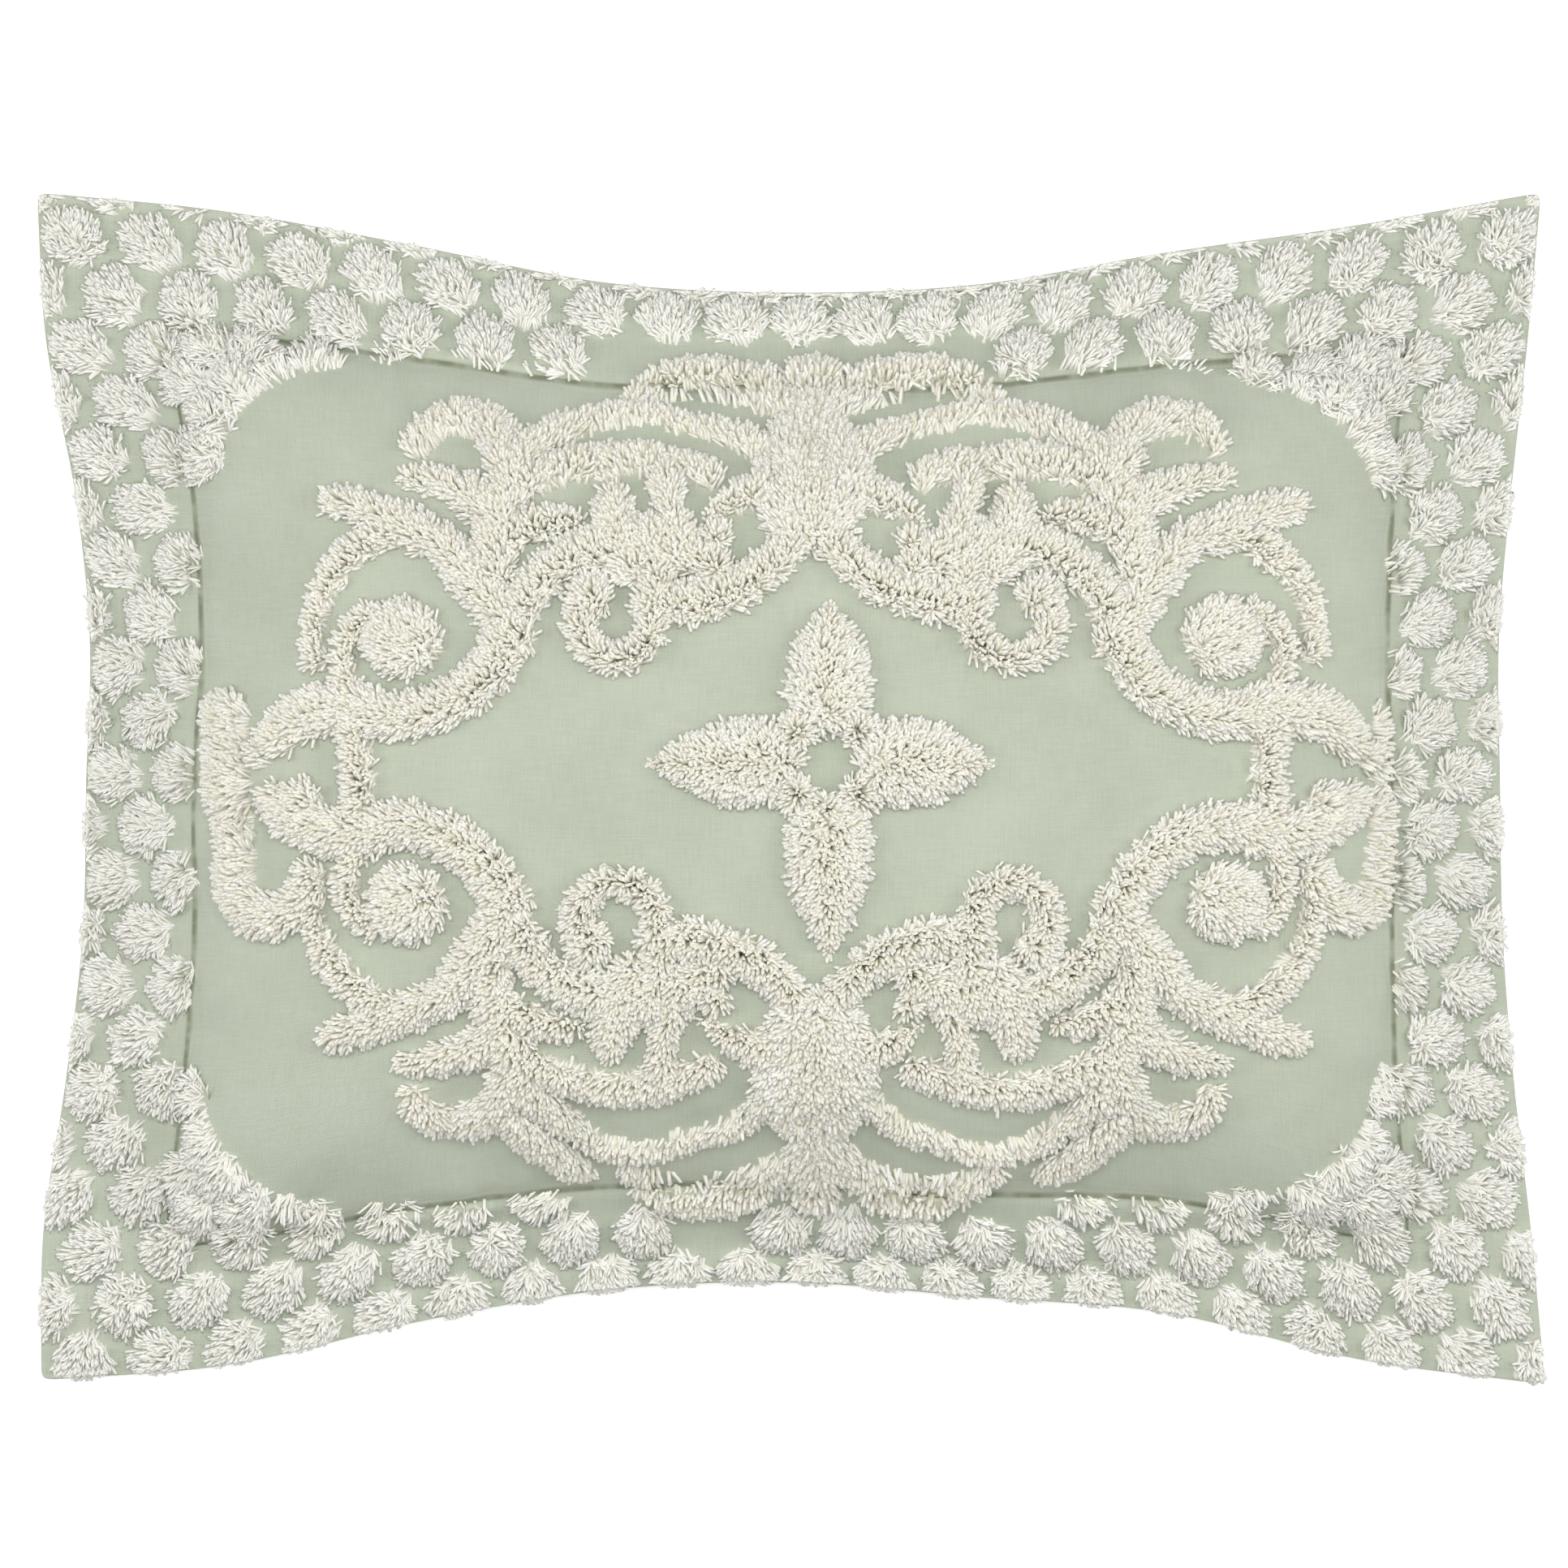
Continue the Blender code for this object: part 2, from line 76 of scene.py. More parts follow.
def draw_in(edge, share):
    """Metres that an edge is drawn in at share, from -1 at its first corner to 1 at its last."""
    table = np.array(DRAW_IN_MM[edge]) * MM
    place = (np.clip(share, -1, 1) + 1) / 2 * (len(table) - 1)
    k = np.clip(np.floor(place).astype(int), 0, len(table) - 2)
    t = place - k
    slope = np.gradient(table)
    a, b, ma, mb = table[k], table[k + 1], slope[k], slope[k + 1]
    return (
        (2 * t**3 - 3 * t**2 + 1) * a
        + (t**3 - 2 * t**2 + t) * ma
        + (3 * t**2 - 2 * t**3) * b
        + (t**3 - t**2) * mb
    )


def across(flat, cut, low_edge, low_seam, high_seam, high_edge):
    """A flat place along one direction of the cut, carried to where that cloth lies."""
    seam = cut / 2 - FLANGE
    return np.where(
        flat < -seam,
        low_seam + (flat + seam) / FLANGE * (low_seam - low_edge),
        np.where(
            flat > seam,
            high_seam + (flat - seam) / FLANGE * (high_edge - high_seam),
            low_seam + (flat + seam) / (2 * seam) * (high_seam - low_seam),
        ),
    )


def lay(s, t):
    """The place (x, y), seen from above, of a point (s, t) of the flat face."""
    along, up = s / (CUT_WIDTH / 2), t / (CUT_HEIGHT / 2)
    side_flange = FLANGE * (1 - SIDE_FORESHORTENING * np.cos(pi / 2 * up) ** 2)
    long_flange = FLANGE * (1 - LONG_EDGE_FORESHORTENING * np.cos(pi / 2 * along) ** 2)
    left, right = -CORNER_X + draw_in("left", up), CORNER_X - draw_in("right", up)
    low, high = -CORNER_Y + draw_in("bottom", along), CORNER_Y - draw_in("top", along)
    x = across(s, CUT_WIDTH, left, left + side_flange, right - side_flange, right)
    y = across(t, CUT_HEIGHT, low, low + long_flange, high - long_flange, high)
    return x, y


def body_shares(s, t):
    """How far out a flat point is on the body, 1 at the seam, and on the flange, 1 at its edge."""
    out_s = np.clip((np.abs(s) - SEAM_S) / FLANGE, 0, 1)
    out_t = np.clip((np.abs(t) - SEAM_T) / FLANGE, 0, 1)
    out = (out_s**FLANGE_CORNER + out_t**FLANGE_CORNER) ** (1 / FLANGE_CORNER)
    return np.minimum(np.abs(s) / SEAM_S, 1), np.minimum(np.abs(t) / SEAM_T, 1), np.minimum(out, 1)


def fullness(a, b):
    """1 in the middle of the pillow and 0 at the seam."""
    return ((1 - a**FULLNESS_POWER) * (1 - b**FULLNESS_POWER)) ** FULLNESS_ROUNDING


def seam_height(a, b):
    return SEAM_HEIGHT - (SEAM_HEIGHT - SEAM_CORNER_HEIGHT) * (a * b) ** SEAM_FALL


def edge_height(s, t):
    """Height of the folded edge, which comes down to its corners in shallow waves."""
    corner = (np.abs(s) / (CUT_WIDTH / 2) * np.abs(t) / (CUT_HEIGHT / 2)) ** 2
    waves = np.sin(s / EDGE_WAVE_S + EDGE_WAVE_START_S * np.sign(t))
    waves += np.sin(t / EDGE_WAVE_T + EDGE_WAVE_START_T * np.sign(s))
    return EDGE_HEIGHT - (EDGE_HEIGHT - EDGE_CORNER_HEIGHT) * corner + EDGE_WAVE * waves * (1 - corner)


def seam_dip(s, t):
    """How far the stitches draw the cloth down, close by the seam."""
    past_s, past_t = np.abs(s) - SEAM_S, np.abs(t) - SEAM_T
    outside = np.hypot(np.maximum(past_s, 0), np.maximum(past_t, 0))
    off_seam = outside + np.minimum(np.maximum(past_s, past_t), 0)
    return SEAM_DIP * np.exp(-((off_seam / SEAM_DIP_WIDTH) ** 2))


def face_height(s, t):
    a, b, out = body_shares(s, t)
    seam = seam_height(a, b)
    slope = (1 - (1 - out) ** FLANGE_FALL) * (edge_height(s, t) - seam)
    return seam + FLANGE_THICKNESS + CROWN * fullness(a, b) + slope - seam_dip(s, t)


def back_height(s, t):
    """Level where it rests, rounded up to the seam, and then the flange's underside."""
    a, b, out = body_shares(s, t)
    filled = np.minimum(fullness(a, b) / RESTING_FULLNESS, 1)
    under = (seam_height(a, b) - seam_dip(s, t)) * (1 - filled) ** BACK_ROUNDING
    return np.where(out > 0, face_height(s, t) - FLANGE_THICKNESS, under)


# The rows of the mesh lie closer together at the seam and at the folded edge.
SPACING = 0.0095
BY_SEAM = (0.0024, 0.006, 0.0115)  # off the seam, on both its sides
BY_FOLD = (0.0006, 0.0028, 0.0075)  # in from the folded edge


def rows_of(cut):
    """Flat places of the mesh's rows across a cut, mirrored about its middle."""
    half, seam = cut / 2, cut / 2 - FLANGE
    inner, outer = seam - BY_SEAM[-1], seam + BY_SEAM[-1]
    last = half - BY_FOLD[-1]
    rows = [*np.linspace(0, inner, round(inner / SPACING) + 1)]
    rows += [seam - d for d in BY_SEAM[-2::-1]] + [seam] + [seam + d for d in BY_SEAM[:-1]]
    rows += [*np.linspace(outer, last, round((last - outer) / SPACING) + 1)]
    rows += [half - d for d in BY_FOLD[-2::-1]] + [half]
    return np.array([-r for r in rows[:0:-1]] + rows)


S_ROWS, T_ROWS = rows_of(CUT_WIDTH), rows_of(CUT_HEIGHT)
ACROSS, UP = len(S_ROWS), len(T_ROWS)
POINTS = ACROSS * UP  # of the back, and again of the face

bpy.ops.object.select_all(action="DESELECT")
bpy.ops.mesh.primitive_grid_add(x_subdivisions=ACROSS - 1, y_subdivisions=UP - 1, size=1)
cover = bpy.context.active_object
cover.name = cover.data.name = "sham_cover"
bpy.ops.object.mode_set(mode="EDIT")
bpy.ops.mesh.select_all(action="SELECT")
bpy.ops.mesh.extrude_region_move(TRANSFORM_OT_translate={"value": (0, 0, FLANGE_THICKNESS)})
bpy.ops.mesh.select_all(action="SELECT")
bpy.ops.mesh.normals_make_consistent(inside=False)
bpy.ops.object.mode_set(mode="OBJECT")

# The folded corners of the cut are turned round a blunt point.
CORNER_ROUNDING = 0.005
flat_s, flat_t = [rows.ravel() for rows in np.meshgrid(S_ROWS, T_ROWS)]
past_s = np.clip((np.abs(flat_s) - CUT_WIDTH / 2) / CORNER_ROUNDING + 1, 0, 1)
past_t = np.clip((np.abs(flat_t) - CUT_HEIGHT / 2) / CORNER_ROUNDING + 1, 0, 1)
turned_s = flat_s - np.sign(flat_s) * CORNER_ROUNDING * past_s * (1 - np.sqrt(1 - past_t**2 / 2))
turned_t = flat_t - np.sign(flat_t) * CORNER_ROUNDING * past_t * (1 - np.sqrt(1 - past_s**2 / 2))

plan_x, plan_y = lay(turned_s, turned_t)
MIDDLE = np.array([(plan_x.min() + plan_x.max()) / 2, (plan_y.min() + plan_y.max()) / 2])
plan = np.stack((plan_x, plan_y), 1) - MIDDLE
back = np.column_stack((plan, back_height(flat_s, flat_t)))
face = np.column_stack((plan, face_height(flat_s, flat_t)))
drawn = np.concatenate((back, face))
cover.data.vertices.foreach_set("co", drawn.ravel())

# The pillow swells the cloth and gathers it a little at the seam, in a short simulation. The
# flange, the seam and the middle of the back, which rests on a surface, are held.
SWELL = 0.006  # the furthest that a point moves
PRESSURE = 4.0
SPARE_CLOTH = 0.02
FRAMES = 16
AT_SEAM = 0.999
HELD_FULLNESS = 0.5 * RESTING_FULLNESS
share_s, share_t, share_out = body_shares(flat_s, flat_t)
held_face = (share_out > 0) | (share_s > AT_SEAM) | (share_t > AT_SEAM)
held_back = held_face | (fullness(share_s, share_t) > HELD_FULLNESS)
held = np.nonzero(np.concatenate((held_back, held_face)))[0]
group = cover.vertex_groups.new(name="held")
group.add([int(k) for k in held], 1.0, "REPLACE")
blown = cover.modifiers.new("blown", "CLOTH")
blown.settings.quality = 5
blown.settings.mass = 0.2
blown.settings.tension_stiffness = blown.settings.compression_stiffness = 12
blown.settings.shear_stiffness = 6
blown.settings.bending_stiffness = 0.3
blown.settings.shrink_min = -SPARE_CLOTH
blown.settings.use_pressure = True
blown.settings.uniform_pressure_force = PRESSURE
blown.settings.vertex_group_mass = "held"
blown.settings.effector_weights.gravity = 0
blown.point_cache.frame_start, blown.point_cache.frame_end = 1, FRAMES
for step in range(1, FRAMES + 1):
    bpy.context.scene.frame_set(step)
bpy.ops.object.modifier_apply(modifier=blown.name)
bpy.context.scene.frame_set(1)
cover.vertex_groups.clear()
swollen = np.empty(6 * POINTS)
cover.data.vertices.foreach_get("co", swollen)
moved = swollen.reshape(-1, 3) - drawn
far = np.maximum(np.linalg.norm(moved, axis=1, keepdims=True), 1e-9)
drawn = drawn + moved * np.minimum(1, SWELL / far)
cover.data.vertices.foreach_set("co", drawn.ravel())

Surface = namedtuple("Surface", "points s_rows t_rows")
FACE = Surface(drawn[POINTS:].reshape(UP, ACROSS, 3), S_ROWS, T_ROWS)

# Each corner of a mesh face knows its flat place, for the weave, and its place in the bake's
# map: the sham's face above its back, and the fold round them as a strip along the bottom.
CLOTH_LEFT, CLOTH_WIDTH = 0.01, 0.98
BACK_LOW, CLOTH_HEIGHT, FACE_ABOVE_BACK = 0.03, 0.46, 0.49
STRIP_LEFT, EDGE_LENGTH = 0.002, 0.248  # the fold's four edges lie end to end
STRIP_LOW, STRIP_HEIGHT = 0.005, 0.015
corners = np.empty(len(cover.data.loops), int)
cover.data.loops.foreach_get("vertex_index", corners)
corners = corners.reshape(-1, 4)
corner_s, corner_t = flat_s[corners % POINTS], flat_t[corners % POINTS]
flat_map = cover.data.uv_layers.new(name="flat_cloth")
flat_map.uv.foreach_set("vector", np.stack((corner_s, corner_t), -1).ravel())
on_face = corners >= POINTS
share_u, share_v = corner_s / CUT_WIDTH + 0.5, corner_t / CUT_HEIGHT + 0.5
bake_u = CLOTH_LEFT + CLOTH_WIDTH * share_u
bake_v = BACK_LOW + CLOTH_HEIGHT * share_v + FACE_ABOVE_BACK * on_face
fold = on_face.any(1) & ~on_face.all(1)
by_long_edge = np.ptp(corner_t, axis=1) < MM
far_side = np.where(by_long_edge, corner_t[:, 0], corner_s[:, 0]) > 0
strip = np.where(by_long_edge[:, None], share_u, share_v) + (by_long_edge + 2 * far_side)[:, None]
bake_u[fold] = (STRIP_LEFT + EDGE_LENGTH * strip)[fold]
bake_v[fold] = (STRIP_LOW + STRIP_HEIGHT * on_face)[fold]
bake_map = cover.data.uv_layers.new(name="OFBake")
bake_map.uv.foreach_set("vector", np.stack((bake_u, bake_v), -1).ravel())

side = cover.data.attributes.new("face_side", "FLOAT", "POINT")
side.data.foreach_set("value", np.repeat((0.0, 1.0), POINTS))

finer = cover.modifiers.new("finer", "SUBSURF")
finer.levels = finer.render_levels = 1
finer.uv_smooth = "NONE"
bpy.ops.object.modifier_apply(modifier=finer.name)
bpy.ops.object.shade_smooth()


class Value:
    """A shader socket for use in Python expressions, where each operator adds a Math node."""

    def __init__(self, finish, socket):
        self.finish, self.socket = finish, socket

    def math(self, operation, *inputs):
        return self.finish.node("ShaderNodeMath", {"operation": operation}, dict(enumerate(inputs)))

    def other(self, output):
        return Value(self.finish, self.socket.node.outputs[output])

    def __add__(self, other):
        return self.math("ADD", self, other)

    def __sub__(self, other):
        return self.math("SUBTRACT", self, other)

    def __rsub__(self, other):
        return self.math("SUBTRACT", other, self)

    def __mul__(self, other):
        return self.math("MULTIPLY", self, other)

    def __truediv__(self, other):
        return self.math("DIVIDE", self, other)

    def __abs__(self):
        return self.math("ABSOLUTE", self)

    __radd__, __rmul__ = __add__, __mul__

    def over(self, other):
        """The greater of the two."""
        return self.math("MAXIMUM", self, other)

    def under(self, other):
        """The lesser of the two."""
        return self.math("MINIMUM", self, other)


class Finish:
    """A material whose surface sockets are set by name, and whose other nodes come from node()."""

    def __init__(self, name, **sockets):
        self.material = bpy.data.materials.new(name)
        self.material.use_nodes = True
        self.tree = self.material.node_tree
        self.surface = self.tree.nodes["Principled BSDF"]
        for socket, value in sockets.items():
            self.surface.inputs[socket.replace("_", " ")].default_value = value

    def node(self, kind, settings=None, sockets=None, output=0):
        """One output of a new node, after its settings and the values or links of its sockets."""
        made = self.tree.nodes.new(kind)
        for name, value in (settings or {}).items():
            if name == "stops":
                ramp = made.color_ramp.elements
                while len(ramp) < len(value):
                    ramp.new(1.0)
                for stop, (place, colour) in zip(ramp, value):
                    stop.position, stop.color = place, colour
            else:
                setattr(made, name, value)
        for name, value in (sockets or {}).items():
            self.link(made.inputs[name], value)
        return Value(self, made.outputs[output])

    def link(self, socket, value):
        if isinstance(value, Value):
            self.tree.links.new(value.socket, socket)
        else:
            socket.default_value = value

    def feed(self, socket, value):
        self.link(self.surface.inputs[socket], value)


def tone(red, green, blue):
    """A colour named by its screen values, 0 to 255, as the shader's linear numbers."""
    shown = np.array((red, green, blue)) / 255
    linear = np.where(shown <= 0.04045, shown / 12.92, ((shown + 0.055) / 1.055) ** 2.4)
    return (*[float(v) for v in linear], 1.0)


# Plain-woven cotton, dyed sage: even threads with a slub here and there, and a dry, matt hand.
THREAD = 0.0005
WAVES_PER_UNIT = 20 / tau  # in a Wave texture at scale 1
SLUB_LENGTH, SLUB_WIDTH = 0.016, 0.0007
PATCH = 0.07
SLUB_SHADE, PATCH_SHADE = 0.3, 0.4
SAGE = ((0.38, tone(179, 186, 168)), (0.5, tone(186, 193, 175)), (0.62, tone(192, 199, 182)))
PACKED_YARN = tone(220, 221, 199)
GATHER_REACH, GATHER_LENGTH, GATHER_WIDTH = 0.009, 0.014, 0.0034
# Painted shade along the seam's cleft: its colour, how far it reaches from the seam, and the size of
# its patches.
SEAM_PAINTED_SHADE, SEAM_SHADE_REACH, SEAM_SHADE_PATCH = tone(130, 136, 112), 0.0012, 0.012
WEAVE_RELIEF, GATHER_RELIEF = 0.0003, 0.0016

cotton = Finish("sage_cotton", Roughness=0.93, Sheen_Weight=0.08, Sheen_Roughness=0.6)
flat = cotton.node("ShaderNodeUVMap", {"uv_map": "flat_cloth"})
flat_x = cotton.node("ShaderNodeSeparateXYZ", sockets={"Vector": flat})
flat_y = flat_x.other("Y")


def stretched_noise(size_x, size_y, detail=2.0, start=0.0):
    """Noise on the flat cloth whose grains are about this long each way."""
    scaled = cotton.node(
        "ShaderNodeMapping",
        sockets={"Vector": flat, "Scale": (1 / size_x, 1 / size_y, 1), "Location": (start,) * 3},
    )
    return cotton.node("ShaderNodeTexNoise", sockets={"Vector": scaled, "Scale": 1.0, "Detail": detail})


def blended(share, under, over):
    """The colour under, which turns to the colour over as share goes from 0 to 1."""
    return cotton.node("ShaderNodeMix", {"data_type": "RGBA"}, {0: share, 6: under, 7: over}, output=2)


slubs = stretched_noise(SLUB_LENGTH, SLUB_WIDTH)
slubs += stretched_noise(SLUB_WIDTH, SLUB_LENGTH, start=7.0)
patches = stretched_noise(PATCH, PATCH, detail=3.0)
shade = SLUB_SHADE * slubs + PATCH_SHADE * patches
sage = cotton.node("ShaderNodeValToRGB", {"stops": SAGE}, {"Fac": shade})
under_pile = cotton.node("ShaderNodeAttribute", {"attribute_name": "under_pile"}, output="Fac")
past_side, past_long = abs(flat_x) - SEAM_S, abs(flat_y) - SEAM_T
off_seam = abs(past_side.over(past_long))
# Painted shade in the seam's cleft: a dark line that is darkest in its middle, and deeper in some
# places than in others.
cleft_painted_shade = (1.5 - 1.5 * off_seam / SEAM_SHADE_REACH).over(0.0).under(1.0)
cleft_painted_shade = cleft_painted_shade * (2.6 * stretched_noise(SEAM_SHADE_PATCH, SEAM_SHADE_PATCH, start=3.0) - 0.5).under(1.0).over(0.25)
with_seam_shade = blended(cleft_painted_shade, sage, SEAM_PAINTED_SHADE)
cotton.feed("Base Color", blended(under_pile, with_seam_shade, PACKED_YARN))
weave = [
    cotton.node(
        "ShaderNodeTexWave",
        {"bands_direction": way},
        {"Vector": flat, "Scale": 1 / THREAD / 2 / WAVES_PER_UNIT, "Distortion": 0.0},
    )
    for way in ("X", "Y")
]
woven = weave[0] * weave[1] + slubs
at_side = past_side.math("GREATER_THAN", past_side, past_long)
by_side = at_side * stretched_noise(GATHER_LENGTH, GATHER_WIDTH)
by_long = (1 - at_side) * stretched_noise(GATHER_WIDTH, GATHER_LENGTH)
gathers = (1 - off_seam / GATHER_REACH).over(0.0) * (by_side + by_long)
relief = WEAVE_RELIEF * woven + GATHER_RELIEF * gathers
bump = cotton.node("ShaderNodeBump", sockets={"Height": relief, "Strength": 0.5, "Distance": 1.0})
cotton.feed("Normal", bump)
cover.data.materials.append(cotton.material)

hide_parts("sham")
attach(cover, "root")

# ---------------------------------------------------------------- the seam's stitches
# A lockstitch in sage thread joins face and back all round the pillow. Each stitch lies along
# the seam and dips into the cloth at both its ends.
STITCH, STITCH_GAP = 0.0024, 0.0008
THREAD_RADIUS, STITCH_RISE, STITCH_DIP = 0.00032, 0.0003, 0.0004
STITCH_SIDES = 4
ALONG_STITCH = ((0.0, -STITCH_DIP), (0.25, STITCH_RISE), (0.75, STITCH_RISE), (1.0, -STITCH_DIP))


def unit(vectors):
    return vectors / np.maximum(np.linalg.norm(vectors, axis=-1, keepdims=True), 1e-9)


def cubic_weights(f):
    """Weights of four neighbours in a row, for a place at share f between the middle two."""
    return (
        -0.5 * f + f**2 - 0.5 * f**3,
        1 - 2.5 * f**2 + 1.5 * f**3,
        0.5 * f + 2 * f**2 - 1.5 * f**3,
        -0.5 * f**2 + 0.5 * f**3,
    )


def points_on(surface, s, t):
    """Points of a surface at flat places (s, t)."""
    rows, columns = surface.points.shape[:2]
    place_s = np.interp(s, surface.s_rows, range(columns))
    place_t = np.interp(t, surface.t_rows, range(rows))
    column = np.clip(np.floor(place_s).astype(int), 0, columns - 2)
    row = np.clip(np.floor(place_t).astype(int), 0, rows - 2)
    point = 0
    for j, by_row in enumerate(cubic_weights(place_t - row)):
        near_row = np.clip(row + j - 1, 0, rows - 1)
        for i, by_column in enumerate(cubic_weights(place_s - column)):
            near = surface.points[near_row, np.clip(column + i - 1, 0, columns - 1)]
            point = point + (by_row * by_column)[:, None] * near
    return point


def lie_of(surface, s, t):
    """Points at flat places, how the surface runs for each metre of s and of t, and its normals."""
    step = MM
    along = (points_on(surface, s + step, t) - points_on(surface, s - step, t)) / (2 * step)
    up = (points_on(surface, s, t + step) - points_on(surface, s, t - step)) / (2 * step)
    return points_on(surface, s, t), along, up, unit(np.cross(along, up))


# Each tube has a square cell of the bake's map: its root's cap low in the middle, and over it
# its sides, in strips a little apart, which run up to its point.
CAP_U, CAP_V, CAP_RADIUS = 0.5, 0.05, 0.03
SIDES_LOW, SIDES_HEIGHT, POINT_V = 0.1, 0.7, 0.95
STRIP_FROM, STRIP_TO = 0.1, 0.9


def tubes(name, spines, beside, radii, sides):
    """Many short closed tubes as one piece. Each spine runs through its rings to a pointed end."""
    count, rings = spines.shape[0], spines.shape[1] - 1
    ahead = unit(np.gradient(spines, axis=1))[:, :-1]
    first = unit(np.cross(ahead, beside[:, None]))
    second = np.cross(ahead, first)
    angles = tau * np.arange(sides) / sides
    around = np.cos(angles)[:, None] * first[:, :, None] + np.sin(angles)[:, None] * second[:, :, None]
    points = spines[:, :-1, None] + np.asarray(radii)[:, None, None] * around
    points = np.concatenate((points.reshape(count, -1, 3), spines[:, -1:]), 1)

    faces = [tuple(range(sides))[::-1]]
    places = [(CAP_U + CAP_RADIUS * cos(a), CAP_V + CAP_RADIUS * sin(a)) for a in -angles]
    ring_v = np.linspace(SIDES_LOW, SIDES_LOW + SIDES_HEIGHT, rings)
    last = (rings - 1) * sides
    for i in range(sides):
        j, left, right = (i + 1) % sides, (i + STRIP_FROM) / sides, (i + STRIP_TO) / sides
        for k in range(rings - 1):
            faces.append((k * sides + i, k * sides + j, (k + 1) * sides + j, (k + 1) * sides + i))
            low, high = ring_v[k : k + 2]
            places += [(left, low), (right, low), (right, high), (left, high)]
        faces.append((last + i, last + j, rings * sides))
        places += [(left, ring_v[-1]), (right, ring_v[-1]), ((left + right) / 2, POINT_V)]

    each = rings * sides + 1
    corners = (np.concatenate(faces) + each * np.arange(count)[:, None]).ravel()
    sizes = np.tile([len(f) for f in faces], count)
    mesh = bpy.data.meshes.new(name)
    mesh.vertices.add(count * each)
    mesh.vertices.foreach_set("co", points.ravel())
    mesh.loops.add(len(corners))
    mesh.loops.foreach_set("vertex_index", corners)
    mesh.polygons.add(len(sizes))
    mesh.polygons.foreach_set("loop_start", np.cumsum(sizes) - sizes)
    mesh.update(calc_edges=True)
    mesh.shade_smooth()

    cells = ceil(sqrt(count))
    cell = np.stack((np.arange(count) % cells, np.arange(count) // cells), 1)
    bake = (cell[:, None] + np.array(places)) / cells
    mesh.uv_layers.new(name="OFBake").uv.foreach_set("vector", bake.ravel())
    piece = bpy.data.objects.new(name, mesh)
    bpy.context.scene.collection.objects.link(piece)
    return piece


starts, runs = [], []
for edge in (-1, 1):
    for at in np.arange(-SEAM_S, SEAM_S - STITCH, STITCH + STITCH_GAP):
        starts.append((at, edge * SEAM_T))
        runs.append((1, 0))
    for at in np.arange(-SEAM_T, SEAM_T - STITCH, STITCH + STITCH_GAP):
        starts.append((edge * SEAM_S, at))
        runs.append((0, 1))
starts, runs = np.array(starts), np.array(runs)
spine = []
for share, rise in ALONG_STITCH:
    place = starts + runs * STITCH * share
    point, _, _, out = lie_of(FACE, place[:, 0], place[:, 1])
    spine.append(point + out * rise)
radii = [THREAD_RADIUS] * (len(ALONG_STITCH) - 1)
stitches = tubes("seam_stitches", np.stack(spine, 1), out, radii, STITCH_SIDES)

thread = Finish("sage_thread", Roughness=0.6, Sheen_Weight=0.1)
inside = thread.node("ShaderNodeTexCoord", output="Object")
ply = thread.node("ShaderNodeTexNoise", sockets={"Vector": inside, "Scale": 1400.0, "Detail": 2.0})
spun = ((0.3, tone(150, 160, 134)), (0.7, tone(186, 195, 170)))
thread.feed("Base Color", thread.node("ShaderNodeValToRGB", {"stops": spun}, {"Fac": ply}))
twist = thread.node("ShaderNodeBump", sockets={"Height": ply, "Strength": 0.4, "Distance": 0.0001})
thread.feed("Normal", twist)
stitches.data.materials.append(thread.material)
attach(stitches, "root")

# ---------------------------------------------------------------- the bed of the pile
# The yarn is needled through the cover in round tufts and in curving bands, and its roots pack
# into a low cushion on the face. The bed is part of the cover, in the colour of the yarn.
DOT_PITCH, DOT_ROW, DOT_RADIUS = 0.038, 0.0277, 0.0168
FIRST_DOT = (-0.345, 0.312)
PANEL_ROUNDING = 0.135
MEDALLION_CENTRE, FLOWER_CENTRE = (0.012, 0.008), (0.019, 0.012)
FOOT_STRETCH, FOOT_FROM = 0.36, 0.150
FOOT_HALF_WIDTH, FOOT_FADE = 0.155, 0.045
STROKE_STEP_MM = 2.5
UNEVENNESS = 0.0012

